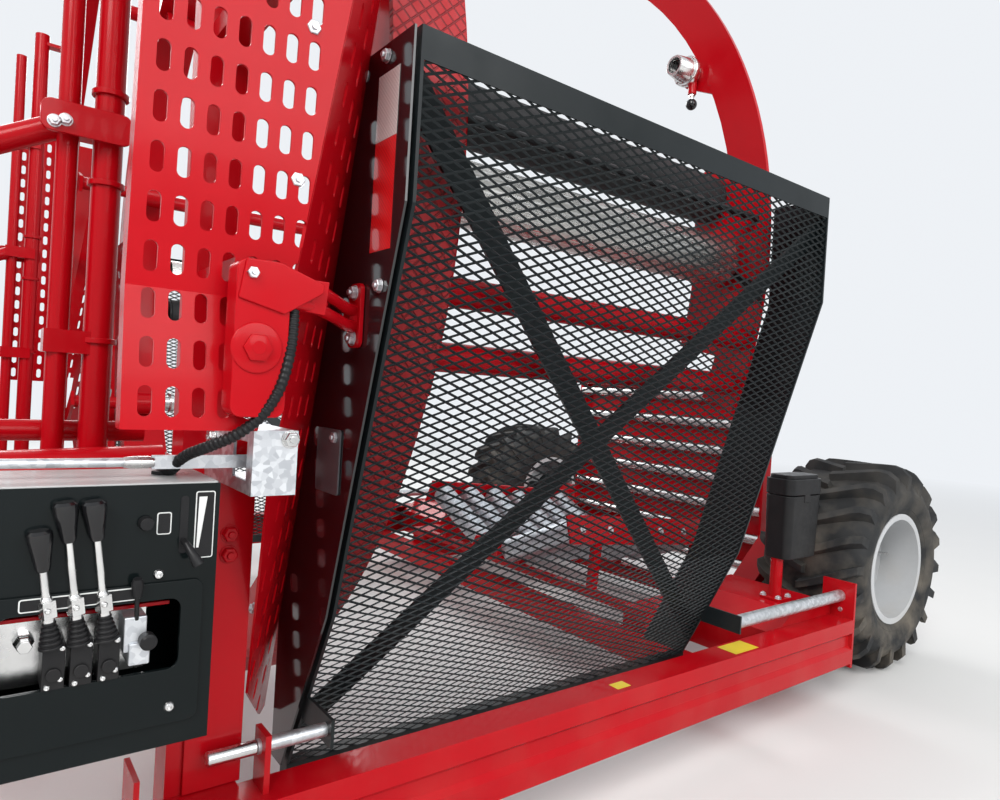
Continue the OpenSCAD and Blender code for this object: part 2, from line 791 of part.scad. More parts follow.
module control_cabinet() {
  t = 3;
  color(black) at_hoop() {
    at_cabinet() difference() {
      translate([-cabinet_w, 0, 0]) cube([cabinet_w, cabinet_d, cabinet_h]);
      translate([-cabinet_w + t, t, t]) cube([cabinet_w - 2 * t, cabinet_d - 2 * t, cabinet_h - 2 * t]);
      // Opening for the levers
      translate([-236, -1, 100]) cube([194, t + 2, 90]);
    }
  }
}

// Sectional valve behind the opening, with one lever body on each section
valve_x0 = -330;
valve_x1 = -75;
valve_y = 34;
valve_z0 = 95;
valve_h = 84;
lever_xs = [-178, -150, -121];

module valve_block() {
  color(steel) at_hoop() at_cabinet() {
    translate([valve_x0, valve_y, valve_z0]) cube([valve_x1 - valve_x0, 70, valve_h]);
    // Bracket to the cabinet's back wall
    translate([valve_x0 + 60, valve_y + 70, valve_z0 + 20]) cube([120, cabinet_d - 3 - valve_y - 70, 40]);
  }
}

module control_levers() {
  color(plastic_black) at_hoop() at_cabinet() for (x = lever_xs) {
    translate([x - 12, valve_y - 40, valve_z0 + 8]) cube([24, 40, 52]);
    translate([x, valve_y - 36, valve_z0 + 58]) rotate([14, 0, 0]) {
      cylinder(d1 = 26, d2 = 15, h = 38, $fn = 32);
      cylinder(d = 9, h = 120, $fn = 24);
      translate([0, 0, 110]) cylinder(d1 = 13, d2 = 22, h = 46, $fn = 32);
    }
  }
}

// Black box on a post at the end of the side rail
box_u = 1580;
box_y = 1105;
box_z = 470;
box_size = [215, 105, 285];
box_post_d = 40;

module document_box() {
  color(plastic_black) at_hoop() {
    rod_z(box_post_d, outrigger_top, box_z, box_u + 34, -box_y + 55);
    translate([box_u, -box_y, box_z]) cube(box_size);
  }
}

// Power unit on the front deck

deck_z = beam_top;

module engine() {
  color(black) at_hoop() {
    block([power_u0, -400, deck_z + deck_t], [power_u0 + power_l, 20, deck_z + 420]);
  }
}

module oil_tank() {
  color(red) at_hoop() {
    block([power_u0, 60, deck_z + deck_t], [power_u0 + power_l, 400, deck_z + 480]);
    rod_z(70, deck_z + 480, deck_z + 520, power_u0 + 100, 240);
  }
}

// One tube of the telescopic cylinder, open to the rear
module telescope_tube(d, bore, u0, u1) {
  difference() {
    rod_x(d, u0, u1, 0, cyl_z);
    rod_x(bore + 2 * pin_fit, u0 + 12, u1 + 1, 0, cyl_z);
  }
}

module pusher_barrel() {
  color(black) at_hoop() telescope_tube(barrel_d, stage_1_d, cyl_u0, cyl_u0 + barrel_l);
}

module cylinder_stage_1() {
  color(steel) at_hoop()
    telescope_tube(stage_1_d, stage_2_d, cyl_u0 + stage_inset, cyl_u0 + barrel_l + stage_step);
}

module cylinder_stage_2() {
  color(steel) at_hoop()
    telescope_tube(stage_2_d, rod_d, cyl_u0 + 2 * stage_inset, cyl_u0 + barrel_l + 2 * stage_step);
}

// Hoop and film dispensers, which turn together

module hoop_ring() {
  color(red) at_hoop() translate([0, 0, hoop_z]) rotate([0, 90, 0]) {
    rotate_extrude($fn = 180) {
      for (s = [-1, 1]) translate([track_r, s * (hoop_half - hoop_plate / 2) - hoop_plate / 2])
        square([rim_r - track_r, hoop_plate]);
      translate([rim_r - hoop_plate, -hoop_half]) square([hoop_plate, hoop_w]);
      translate([track_r, -hoop_half + hoop_plate]) square([hoop_plate, hoop_w - 2 * hoop_plate]);
    }
  }
}

module hoop_belt() {
  color(red) at_hoop() translate([0, 0, hoop_z]) rotate([0, 90, 0]) rotate_extrude($fn = 180)
    translate([rim_r, -hoop_half]) square([belt_t, hoop_w]);
}

crescent_u0 = hoop_half;
crescent_u1 = crescent_u0 + film_w + 2 * crescent_t + 230;
rubber_r = rim_r - 181;
rubber_a = 8.3;
ribbed_r = rim_r - 138;
ribbed_a = -1.2;
film_r = rim_r - 142;
film_a = 29;
cross_a = -11;
crescent_a0 = -20;
crescent_a1 = 58;

// A sector between two radii, with 0 degrees towards the operator
function arc_pts(r, a0, a1, n) = [for (i = [0:n]) let (a = a0 + (a1 - a0) * i / n) [-r * cos(a), r * sin(a)]];
module sector(r0, r1, a0, a1) {
  polygon(concat(arc_pts(r1, a0, a1, 20), arc_pts(r0, a1, a0, 20)));
}

module crescent_outline() {
  intersection() {
    circle(r = rim_r - 2, $fn = 180);
    union() {
      sector(rim_r - crescent_w, rim_r + 20, crescent_a0, crescent_a1);
      sector(rubber_r - rubber_d / 2 + 6, rim_r, crescent_a0 + 6, rubber_a + 5);
      translate([-rubber_r * cos(rubber_a), rubber_r * sin(rubber_a)]) circle(d = rubber_d - 12, $fn = 48);
    }
  }
}

// Both dispensers, half a turn apart
module both_dispensers() {
  for (a = [0, 180]) translate([0, 0, hoop_z]) rotate([a, 0, 0]) children();
}

module dispenser_frames() {
  color(red) at_hoop() both_dispensers() {
    difference() {
      for (u = [crescent_u0, crescent_u1 - crescent_t]) run_x(u, u + crescent_t) crescent_outline();
      for (p = [[rubber_r, rubber_a], [ribbed_r, ribbed_a]])
        rod_x(30 + 2 * pin_fit, crescent_u0 - 1, crescent_u1 + 1, -p[0] * cos(p[1]), p[0] * sin(p[1]));
    }
    for (a = [cross_a, crescent_a0 + 3])
      rod_x(tube_d, crescent_u0 + crescent_t, crescent_u1 - crescent_t, -(rim_r - 53) * cos(a), (rim_r - 53) * sin(a));
    rod_x(20, crescent_u0 + crescent_t, crescent_u1 - crescent_t, -(rim_r - 40) * cos(4), (rim_r - 40) * sin(4));
  }
}

module dispenser_roller(d, r, a) {
  y = -r * cos(a);
  z = r * sin(a);
  rod_x(d, crescent_u0 + crescent_t + 24, crescent_u1 - crescent_t - 24, y, z);
  rod_x(30, crescent_u0 + 0.5, crescent_u1 - 0.5, y, z);
}

module rubber_rollers() {
  color(rubber) at_hoop() both_dispensers() dispenser_roller(rubber_d, rubber_r, rubber_a);
}

module ribbed_rollers() {
  color(steel) at_hoop() both_dispensers() dispenser_roller(ribbed_d - 40, ribbed_r, ribbed_a);
}

module film_cones() {
  color(steel) at_hoop() both_dispensers() translate([0, -film_r * cos(film_a), film_r * sin(film_a)]) {
    for (s = [0, 1]) translate([s == 0 ? crescent_u0 + crescent_t : crescent_u1 - crescent_t, 0, 0])
      rotate([0, s == 0 ? 90 : -90, 0]) {
        cylinder(d = 60, h = 20, $fn = 48);
        translate([0, 0, 20]) cylinder(d = 86, h = 18, $fn = 48);
        translate([0, 0, 38]) cylinder(d1 = 74, d2 = 58, h = 50, $fn = 48);
      }
  }
}

// Mesh guards

// One flat stretch of the grille: a sheet with diamond holes, kept a margin inside its edges
function diamond(cx, cy) = let (w = (mesh_w - 2 * strand_w) / 2, h = (mesh_h - strand_w) / 2)
  [[cx - w, cy], [cx, cy - h], [cx + w, cy], [cx, cy + h]];

grille_t = 3;
bend_gap = 1;
module grille_panel(w, h) {
  margin = 8;
  cols = floor((w - 2 * margin) / mesh_w);
  rows = floor((h - 2 * margin) / (mesh_h / 2)) - 1;
  x0 = (w - cols * mesh_w) / 2;
  y0 = (h - (rows + 1) * mesh_h / 2) / 2;
  cells = [for (r = [0:rows - 1]) for (c = [0:cols - 1 - r % 2])
    diamond(x0 + (c + 0.5 + (r % 2) / 2) * mesh_w, y0 + (r + 1) * mesh_h / 2)];
  outer = [[0, 0], [w, 0], [w, h], [0, h]];
  n = len(cells);
  linear_extrude(grille_t) polygon(points = concat(outer, [for (d = cells) each d]),
    paths = concat([[0, 1, 2, 3]], [for (i = [0:n - 1]) [for (k = [0:3]) 4 + 4 * i + k]]));
}

// The panel between two points of the outline
module grille_between(p, q) {
  v = q - p;
  l = norm(v);
  translate([guard_u0 + frame_t, -p[0], p[1]]) rotate([atan2(v[1], -v[0]), 0, 0])
    translate([0, bend_gap, -grille_t]) grille_panel(guard_l - 2 * frame_t, l - 2 * bend_gap);
}

module mesh_grille() {
  for (i = [0:2]) grille_between(skin[i], skin[i + 1]);
}

flange_w = 50;
far_flange_w = 150;
bar_h = 50;

module guard_flange(u, w) {
  run_x(u, u + frame_t) {
    polygon(concat([for (p = skin) [-p[0] - 3, p[1]]], [for (p = flip(skin)) [-p[0] + w, p[1]]]));
    translate([-hinge_y - 25, hinge_z - 25]) square([130, 50]);
  }
}

// Flat bar of a brace in the plane that spans the guard from top to foot
brace_w = 50;
brace_t = 8;
module brace(a, b) {
  half = brace_w / 2 * norm(b - a) / abs(b[0] - a[0]);
  linear_extrude(brace_t) polygon([[a[0], a[1] - half], [b[0], b[1] - half], [b[0], b[1] + half], [a[0], a[1] + half]]);
}

module mesh_guard_frame() {
  guard_flange(guard_u0, flange_w);
  guard_flange(guard_u1 - frame_t, far_flange_w);
  // Top and bottom bars
  block([guard_u0, -guard_half_w - 3, guard_top_z - bar_h], [guard_u1, -guard_half_w, guard_top_z]);
  block([guard_u0, -guard_half_w - 3, guard_top_z], [guard_u1, -guard_half_w + flange_w, guard_top_z + 3]);
  block([guard_u0, -foot_y - 4, foot_z - 30], [guard_u1, -foot_y + 30, foot_z]);
  // Crossed braces
  top = [-1372, 1450];
  low = [-1048, 300];
  rise = top - low;
  translate([0, low[0], low[1]]) rotate([atan2(rise[1], rise[0]), 0, 0]) {
    l = norm(rise);
    brace([guard_u0 + frame_t, 0], [guard_u1 - frame_t, l]);
    brace([guard_u0 + frame_t, l], [guard_u1 - frame_t, 0]);
  }
  // Hinge tube and pin
  rod_x(hinge_tube_d, guard_u1, rail_u1 + end_plate_t, -hinge_y, hinge_z);
  rod_x(hinge_pin_d, -206, guard_u0, -hinge_y, hinge_z);
}

module mesh_guard_frame_near() {
  color(black) at_hoop() mesh_guard_frame();
}

module mesh_guard_grille_near() {
  color(black) at_hoop() mesh_grille();
}

module mesh_guard_frame_far() {
  color(black) at_hoop() mirror([0, 1, 0]) mesh_guard_frame();
}

module mesh_guard_grille_far() {
  color(black) at_hoop() mirror([0, 1, 0]) mesh_grille();
}

// Exit ramp, folded up at rest

module exit_ramp_frame() {
  color(red) at_hoop() translate([ramp_u, 0, ramp_z]) {
    both_sides() {
      block([-20, -ramp_w / 2, -20], [34, -ramp_w / 2 + 12, ramp_l]);
      rod_y(ramp_hinge_d, -ramp_w / 2 - 34, -ramp_w / 2 + 1, 0, 0);
    }
    block([28, -ramp_w / 2, 40], [34, ramp_w / 2, ramp_l]);
    block([-20, -ramp_w / 2 + 12, ramp_l - 12], [28, ramp_w / 2 - 12, ramp_l]);
  }
}

bar_d = 48;

module exit_ramp_bars() {
  color(steel) at_hoop() translate([ramp_u, 0, ramp_z]) for (i = [0:ramp_bars - 1])
    rod_y(bar_d, -ramp_w / 2 + 12, ramp_w / 2 - 12, 0, 70 + i * (ramp_l - 130) / (ramp_bars - 1));
}

// Pusher

shoe_inner = 100;
neck_w = 260;
push_t = 14;

module pusher() {
  color(red) at_hoop() {
    // Push plate with its neck, clear of the feed table's rollers
    run_x(push_u - push_t, push_u) union() {
      translate([0, push_z]) circle(r = push_r, $fn = fine);
      translate([-neck_w / 2, beam_z + 40]) square([neck_w, push_z - beam_z - 100]);
    }
    both_sides() {
      run_y(-neck_w / 2 + 10, -shoe_inner) polygon([[push_u - push_t, push_z + 250],
        [push_u - 60, push_z + 250], [push_u - 300, beam_top + 40], [push_u - 300, beam_z + 40],
        [push_u - push_t, beam_z + 40]]);
      // Shoe that slides between the main beams
      block([push_u - 300, -beam_y + beam_w / 2 + fit, beam_z + 40], [push_u, -shoe_inner, beam_z + 72]);
    }
    rod_x(rod_d, cyl_u0 + 3 * stage_inset, push_u - push_t + 1, 0, cyl_z);
  }
}

// Wheels

module tyre_section(r_out, r_rim, w) {
  c = w * 0.16;
  difference() {
    union() {
      translate([r_rim, -w / 2 + 30]) square([r_out - r_rim - c, w - 60]);
      translate([r_rim + 30, -w / 2]) square([r_out - r_rim - c - 30, w]);
      translate([r_out - c - 1, -w / 2 + c]) square([c + 1, w - 2 * c]);
      for (s = [-1, 1]) translate([r_out - c, s * (w / 2 - c)]) circle(r = c, $fn = 48);
    }
  }
}

lug_w = 34;
module lug_bar() {
  w = rear_tyre_w;
  // One bar from beside the middle to the shoulder, slanting back
  translate([0, 0, rear_r - lug_h - 22]) linear_extrude(lug_h + 40)
    polygon([[-lug_w / 2, 14], [lug_w / 2, 8], [lug_w / 2 + 78, -w / 2 + 4], [-lug_w / 2 + 68, -w / 2 + 4]]);
}

module rear_tyre() {
  intersection() {
    union() {
      rotate([90, 0, 0]) rotate_extrude($fn = 120) tyre_section(rear_r - lug_h, rear_rim_d / 2, rear_tyre_w);
      for (i = [0:lug_count - 1]) {
        rotate([0, i * 360 / lug_count, 0]) lug_bar();
        rotate([0, (i + 0.5) * 360 / lug_count, 0]) mirror([0, 1, 0]) lug_bar();
      }
    }
    rotate([90, 0, 0]) cylinder(r = rear_r, h = rear_tyre_w, center = true, $fn = 180);
  }
}

// A dished rim, open outwards (-Y), with a hub bore
module rim(rim_d, w, dish, bore) {
  r = rim_d / 2;
  rotate([90, 0, 0]) rotate_extrude($fn = 96) {
    polygon([[r - 12, -w / 2 + 30], [r, -w / 2 + 30], [r, w / 2 - 30], [r - 12, w / 2 - 30]]);
    for (s = [-1, 1]) translate([r - 12, s * (w / 2 - 24) - 6]) square([22, 12]);
    polygon([[bore / 2, dish - 14], [r * 0.45, dish - 14], [r * 0.7, dish + 22], [r - 6, dish + 22],
      [r - 6, dish + 34], [r * 0.66, dish + 34], [r * 0.42, dish], [bore / 2, dish]]);
  }
}

module rear_hub(s) {
  translate([rear_axle_u, s * rear_wheel_y, rear_r]) children();
}

module rear_tyre_near() {
  color(rubber) at_hoop() rear_hub(-1) rear_tyre();
}

module rear_rim_near() {
  color(zinc) at_hoop() rear_hub(-1) rim(rear_rim_d, rear_tyre_w, 0, 90 + 2 * pin_fit);
}

module rear_tyre_far() {
  color(rubber) at_hoop() mirror([0, 1, 0]) rear_hub(-1) rear_tyre();
}

module rear_rim_far() {
  color(zinc) at_hoop() mirror([0, 1, 0]) rear_hub(-1) rim(rear_rim_d, rear_tyre_w, 0, 90 + 2 * pin_fit);
}

module front_tyre() {
  rotate([90, 0, 0]) rotate_extrude($fn = 96) difference() {
    tyre_section(front_r, front_rim_d / 2, front_tyre_w);
    for (y = [-45, -15, 15, 45]) translate([front_r - 9, y - 4]) square([20, 8]);
  }
}

module front_hub() {
  translate([-front_axle_u, -front_wheel_y, front_r]) children();
}

module front_tyre_near() {
  color(rubber) at_hoop() front_hub() front_tyre();
}

module front_rim_near() {
  color(zinc) at_hoop() front_hub() rim(front_rim_d, front_tyre_w, 0, 50 + 2 * pin_fit);
}

module front_tyre_far() {
  color(rubber) at_hoop() mirror([0, 1, 0]) front_hub() front_tyre();
}

module front_rim_far() {
  color(zinc) at_hoop() mirror([0, 1, 0]) front_hub() rim(front_rim_d, front_tyre_w, 0, 50 + 2 * pin_fit);
}

// Front axle on its turntable

module front_axle() {
  color(red) at_hoop() {
    rod_z(king_d, beam_z - 1, beam_z + 26, -front_axle_u, 0);
    rod_z(420, beam_z - 24, beam_z - fit, -front_axle_u, 0);
    block([-front_axle_u - 45, -640, front_r - 45], [-front_axle_u + 45, 640, front_r + 45]);
    block([-front_axle_u - 120, -150, front_r + 45], [-front_axle_u + 120, 150, beam_z - 24]);
    both_sides() {
      rod_y(50, -front_wheel_y - 30, -640, -front_axle_u, front_r);
      rod_y(110, -front_wheel_y + 110, -640, -front_axle_u, front_r);
      // Tongue with the eye of the drawbar's hinge
      difference() {
        block([bar_u - 32, -150, bar_z - 35], [-front_axle_u - 44, -130, bar_z + 35]);
        rod_y(bar_pin_d + 2 * pin_fit, -160, -120, bar_u, bar_z);
      }
    }
  }
}

bar_tube = 60;
eye_d = 100;

module drawbar() {
  tip = -front_reach + eye_d / 2;
  color(red) at_hoop() {
    rod_y(bar_pin_d, -150, 150, bar_u, bar_z);
    rod_y(56, -124, 124, bar_u, bar_z);
    both_sides() strut([bar_u, -90, bar_z], [tip + 110, -18, hitch_z], bar_tube - 10);
    difference() {
      union() {
        block([tip + 30, -22, hitch_z - hitch_t / 2], [tip + 180, 22, hitch_z + hitch_t / 2]);
        translate([tip, 0, hitch_z - hitch_t / 2]) cylinder(d = eye_d, h = hitch_t, $fn = 64);
      }
      translate([tip, 0, hitch_z - hitch_t]) cylinder(d = hitch_bore, h = 2 * hitch_t, $fn = 64);
    }
    // Bracket for the jack
    block([jack_u - 25, -jack_y + jack_d / 2 + fit, 300], [jack_u + 25, -40, 400]);
  }
}

module jack_body() {
  color(black) at_hoop() {
    difference() {
      rod_z(jack_d, jack_z0, jack_top, jack_u, -jack_y);
      rod_z(jack_inner_d + 2 * fit, jack_z0 - 1, jack_top - 20, jack_u, -jack_y);
    }
    rod_z(20, jack_top, jack_top + 30, jack_u, -jack_y);
    rod_y(14, -jack_y - 100, -jack_y, jack_u, jack_top + 30);
  }
}

module jack_leg() {
  color(zinc) at_hoop() {
    rod_z(jack_inner_d, 8, jack_z0 + 140, jack_u, -jack_y);
    rod_z(170, 0, 10, jack_u, -jack_y);
  }
}

side_rails();
main_beams();
arch_frame();
hoop_guides();
hoop_drive();
slotted_guards();
end_walls();
mast_tubes();
cabinet_bracket();
guard_latch();
rear_frame();
rear_table_channels();
rear_table_rollers();
rear_wheel_motors();
feed_table_sides();
feed_table_rollers();
trip_bar();
trip_linkage();
control_cabinet();
valve_block();
control_levers();
document_box();
engine();
oil_tank();
pusher_barrel();
hoop_ring();
hoop_belt();
dispenser_frames();
rubber_rollers();
ribbed_rollers();
film_cones();
mesh_guard_frame_near();
mesh_guard_grille_near();
mesh_guard_frame_far();
mesh_guard_grille_far();
exit_ramp_frame();
exit_ramp_bars();
pusher();
cylinder_stage_1();
cylinder_stage_2();
rear_tyre_near();
rear_rim_near();
rear_tyre_far();
rear_rim_far();
front_tyre_near();
front_rim_near();
front_tyre_far();
front_rim_far();
front_axle();
drawbar();
jack_body();
jack_leg();
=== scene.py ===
"""Looks of the in-line round bale wrapper: materials for every solid, and the finer pieces that ride on it.

Lengths are metres. u runs along the machine from the hoop's plane, y is across, z is up.
"""
import math

import bmesh
import bpy
from mathutils import Matrix, Vector


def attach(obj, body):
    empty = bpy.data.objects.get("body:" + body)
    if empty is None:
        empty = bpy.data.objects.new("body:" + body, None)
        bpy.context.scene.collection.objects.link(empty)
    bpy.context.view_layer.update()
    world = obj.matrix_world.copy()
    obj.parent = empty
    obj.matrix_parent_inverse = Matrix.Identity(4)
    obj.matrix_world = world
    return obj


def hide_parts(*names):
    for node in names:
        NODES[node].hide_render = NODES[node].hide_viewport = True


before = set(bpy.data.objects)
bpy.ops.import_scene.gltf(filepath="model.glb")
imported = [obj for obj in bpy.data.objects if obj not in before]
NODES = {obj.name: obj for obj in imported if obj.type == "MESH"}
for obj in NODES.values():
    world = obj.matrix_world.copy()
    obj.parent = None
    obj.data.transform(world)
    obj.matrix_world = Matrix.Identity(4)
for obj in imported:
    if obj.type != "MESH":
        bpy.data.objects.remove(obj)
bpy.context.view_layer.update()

FRONT_REACH = 4.300
REAR_AXLE_U = 2.240
TYRE_D = 0.787
HOOP_X = (FRONT_REACH - REAR_AXLE_U - TYRE_D / 2) / 2
HOOP_Z = 1.400
BELT_R, BELT_WAVES = 1.300, 105.0

SIDES = (1, "near"), (-1, "far")


def at(u, y, z):
    """A place on the machine in the frame's coordinates."""
    return Vector((HOOP_X + u, y, z))


def moved(u, y, z):
    return Matrix.Translation(at(u, y, z))


def placed(name, data):
    """An object of the scene."""
    o = bpy.data.objects.new(name, data)
    bpy.context.scene.collection.objects.link(o)
    return o


def on_circle(radius, degrees):
    a = math.radians(degrees)
    return radius * math.cos(a), radius * math.sin(a)


# Materials


def new_material(name):
    m = bpy.data.materials.new(name)
    m.use_nodes = True
    nt = m.node_tree
    return m, nt, nt.nodes["Principled BSDF"]


def link(nt, a, b):
    nt.links.new(a, b)


def node(nt, kind, **values):
    """A node of a kind, with numbers or colours on its own sockets."""
    n = nt.nodes.new("ShaderNode" + kind)
    preset(n, **values)
    return n


def preset(n, **values):
    for socket, v in values.items():
        n.inputs[socket.replace("_", " ")].default_value = v


def own_coords(nt):
    return node(nt, "TexCoord").outputs["Object"]


def split_coords(nt):
    """The object's own coordinates as outputs X, Y and Z."""
    xyz = node(nt, "SeparateXYZ")
    link(nt, own_coords(nt), xyz.inputs[0])
    return xyz.outputs


def maths(nt, operation, *values):
    """A Math node over numbers and outputs of other nodes."""
    n = node(nt, "Math")
    n.operation = operation
    for socket, v in zip(n.inputs, values):
        if isinstance(v, (int, float)):
            socket.default_value = v
        else:
            link(nt, v, socket)
    return n.outputs[0]


def noise(nt, scale, detail=3.0, stretch=(1, 1, 1)):
    """A noise texture's value over the object's own coordinates."""
    mp = node(nt, "Mapping", Scale=stretch)
    n = node(nt, "TexNoise", Scale=scale, Detail=detail)
    link(nt, own_coords(nt), mp.inputs["Vector"])
    link(nt, mp.outputs["Vector"], n.inputs["Vector"])
    return n.outputs["Fac"]


def ramp(nt, value, low, first, high, last):
    """A colour that goes from the first to the last as a value goes from low to high."""
    r = node(nt, "ValToRGB")
    for e, position, colour in zip(r.color_ramp.elements, (low, high), (first, last)):
        e.position, e.color = position, (*colour, 1)
    link(nt, value, r.inputs["Fac"])
    return r.outputs["Color"]


def spread(nt, value, low, high, out_low, out_high):
    """A value's range from low to high, spread over another and held at its ends."""
    mr = node(nt, "MapRange", From_Min=low, From_Max=high, To_Min=out_low, To_Max=out_high)
    link(nt, value, mr.inputs["Value"])
    return mr.outputs["Result"]


def mixed(nt, factor, a, b):
    """Two colours, each a tuple or an output of another node, mixed by a factor."""
    m = node(nt, "Mix")
    m.data_type = "RGBA"
    link(nt, factor, m.inputs["Factor"])
    for socket, v in ((m.inputs[6], a), (m.inputs[7], b)):
        if isinstance(v, tuple):
            socket.default_value = (*v, 1)
        else:
            link(nt, v, socket)
    return m.outputs[2]


def bump(nt, bsdf, value, strength, distance):
    b = node(nt, "Bump", Strength=strength, Distance=distance)
    link(nt, value, b.inputs["Height"])
    link(nt, b.outputs["Normal"], bsdf.inputs["Normal"])


DUST = (0.42, 0.36, 0.28)
FINE_RELIEF, PEEL_RELIEF, TAPE_RELIEF, BELT_RELIEF = 0.0008, 0.0006, 0.0005, 0.003
# How fine marks, spangle and prisms are, as the scale of their textures
METAL_MARKS, SPANGLE, PRISMS = 18, 120, 260


def dusty(nt, bsdf, colour, top, most):
    """Colours a surface, with patches of field dust that thin out upwards to a height."""
    low = spread(nt, split_coords(nt)["Z"], 0.0, top, most, 0.0)
    patch = spread(nt, noise(nt, 9, 6), 0.42, 0.68, 0.0, 1.0)
    link(nt, mixed(nt, maths(nt, "MULTIPLY", low, patch), colour, DUST), bsdf.inputs["Base Color"])


def roughen(nt, bsdf, value, low, high, rough):
    link(nt, spread(nt, value, low, high, *rough), bsdf.inputs["Roughness"])


def paint(name, base, shade, rough=(0.16, 0.3), coat=0.6, metallic=0.0, peel=0.05, dust=0.25, shine=0.5):
    """Sprayed or powder-coated metal: slight mottling, orange peel, a glossy coat and dust low down."""
    m, nt, b = new_material(name)
    colour = ramp(nt, noise(nt, 2.2, 5), 0.3, shade, 0.7, base)
    colour = mixed(nt, spread(nt, noise(nt, 55, 3), 0.35, 0.75, 0.0, 0.25), colour, shade)
    dusty(nt, b, colour, 0.55, dust)
    roughen(nt, b, noise(nt, 14, 4), 0.3, 0.7, rough)
    preset(b, Metallic=metallic, Coat_Weight=coat, Coat_Roughness=0.06, Specular_IOR_Level=shine)
    bump(nt, b, noise(nt, 260, 2), peel, PEEL_RELIEF)
    return m


def metal(name, base, shade, rough, stretch=(1, 1, 1), dust=0.2):
    """Bare metal with faint marks, drawn out along the ways in which stretch is below 1."""
    m, nt, b = new_material(name)
    dusty(nt, b, ramp(nt, noise(nt, METAL_MARKS, 6, stretch), 0.3, shade, 0.68, base), 0.6, dust)
    roughen(nt, b, noise(nt, METAL_MARKS * 2.3, 5, stretch), 0.3, 0.7, rough)
    preset(b, Metallic=1.0)
    bump(nt, b, noise(nt, METAL_MARKS * 7, 4, stretch), 0.12, FINE_RELIEF)
    return m


def galvanised(name, base, shade):
    """Hot-dip zinc with its spangle."""
    m, nt, b = new_material(name)
    v = node(nt, "TexVoronoi", Scale=SPANGLE)
    link(nt, own_coords(nt), v.inputs["Vector"])
    g = node(nt, "RGBToBW")
    link(nt, v.outputs["Color"], g.inputs[0])
    colour = ramp(nt, g.outputs[0], 0.2, shade, 0.8, base)
    colour = mixed(nt, spread(nt, noise(nt, 6, 5), 0.4, 0.75, 0.0, 0.5), colour, shade)
    dusty(nt, b, colour, 0.5, 0.2)
    roughen(nt, b, g.outputs[0], 0.1, 0.9, (0.32, 0.5))
    preset(b, Metallic=0.85)
    bump(nt, b, noise(nt, 70, 4), 0.1, FINE_RELIEF)
    return m


def rubbery(name, base, shade, rough=(0.62, 0.85), scale=20, strength=0.25, dust=0.5, top=0.8):
    """Rubber or moulded plastic: a fine grain and little gloss."""
    m, nt, b = new_material(name)
    dusty(nt, b, ramp(nt, noise(nt, scale, 6), 0.3, shade, 0.7, base), top, dust)
    roughen(nt, b, noise(nt, scale * 2, 4), 0.3, 0.7, rough)
    preset(b, Specular_IOR_Level=0.22)
    bump(nt, b, noise(nt, scale * 18, 3), strength, FINE_RELIEF)
    return m


def belt(name, base, shade):
    """Rubber belt with a lattice of diamonds round the hoop: lines that wind both ways along its face."""
    m, nt, b = new_material(name)
    xyz = split_coords(nt)
    x, y, z = (xyz[k] for k in "XYZ")
    arc = maths(nt, "MULTIPLY", maths(nt, "ARCTAN2", y, maths(nt, "SUBTRACT", z, HOOP_Z)), BELT_R)
    waves = [maths(nt, "ABSOLUTE", maths(nt, "SINE", maths(nt, "MULTIPLY", maths(nt, way, arc, x), BELT_WAVES)))
             for way in ("ADD", "SUBTRACT")]
    lattice = maths(nt, "MINIMUM", *waves)
    link(nt, ramp(nt, lattice, 0.15, shade, 0.40, base), b.inputs["Base Color"])
    roughen(nt, b, noise(nt, 40, 4), 0.3, 0.7, (0.5, 0.7))
    bump(nt, b, spread(nt, lattice, 0.10, 0.35, 0.0, 1.0), 0.7, BELT_RELIEF)
    return m


RED = paint("red_paint", (0.45, 0.0025, 0.008), (0.38, 0.002, 0.006), (0.16, 0.27), coat=0.07, dust=0.05,
            shine=0.13)
BELT = belt("belt_red", (0.40, 0.010, 0.014), (0.20, 0.006, 0.009))
BLACK = paint("black_paint", (0.012, 0.013, 0.015), (0.007, 0.008, 0.009), (0.07, 0.16), coat=0.32, peel=0.03,
              dust=0.12)
CABINET = paint("black_gloss", (0.006, 0.009, 0.010), (0.004, 0.006, 0.006), (0.08, 0.14), coat=0.0, peel=0.02,
                dust=0.05, shine=0.15)
# The lid's pale grey is a painted reflection of the sky on the cabinet's glossy top; no dust is added to it
LID = paint("lid_painted_sky_reflection", (0.46, 0.47, 0.47), (0.30, 0.31, 0.31), (0.25, 0.45), coat=0.2, dust=0.0)
MESH_BLACK = paint("black_powder_coat", (0.010, 0.014, 0.016), (0.006, 0.009, 0.010), (0.28, 0.42), coat=0.0,
                   dust=0.06, shine=0.21)
ZINC = galvanised("zinc_plate", (0.72, 0.74, 0.76), (0.50, 0.52, 0.55))
TUBE_ZINC = galvanised("galvanised_tube", (0.66, 0.68, 0.70), (0.46, 0.48, 0.50))
STEEL = metal("bright_steel", (0.78, 0.78, 0.77), (0.58, 0.58, 0.58), (0.18, 0.32))
ALUMINIUM = metal("aluminium", (0.90, 0.90, 0.88), (0.74, 0.73, 0.71), (0.20, 0.34), stretch=(0.2, 1, 1), dust=0.0)
ROLLER = galvanised("table_roller_zinc", (0.60, 0.63, 0.66), (0.38, 0.41, 0.45))
TYRE = rubbery("tyre_rubber", (0.030, 0.031, 0.032), (0.016, 0.017, 0.018), dust=0.35, top=0.9)
ROLL_RUBBER = rubbery("roller_rubber", (0.022, 0.022, 0.023), (0.012, 0.012, 0.013), (0.5, 0.7), 40, 0.5, 0.0)
RIM = paint("rim_paint", (0.52, 0.53, 0.54), (0.40, 0.41, 0.42), (0.3, 0.45), coat=0.2, dust=0.35)
PLASTIC = rubbery("black_plastic", (0.012, 0.012, 0.013), (0.008, 0.008, 0.009), (0.3, 0.48), 30, 0.15, 0.05)
GREY_PLATE = paint("grey_plate", (0.115, 0.122, 0.130), (0.085, 0.090, 0.098), (0.35, 0.5), coat=0.1)
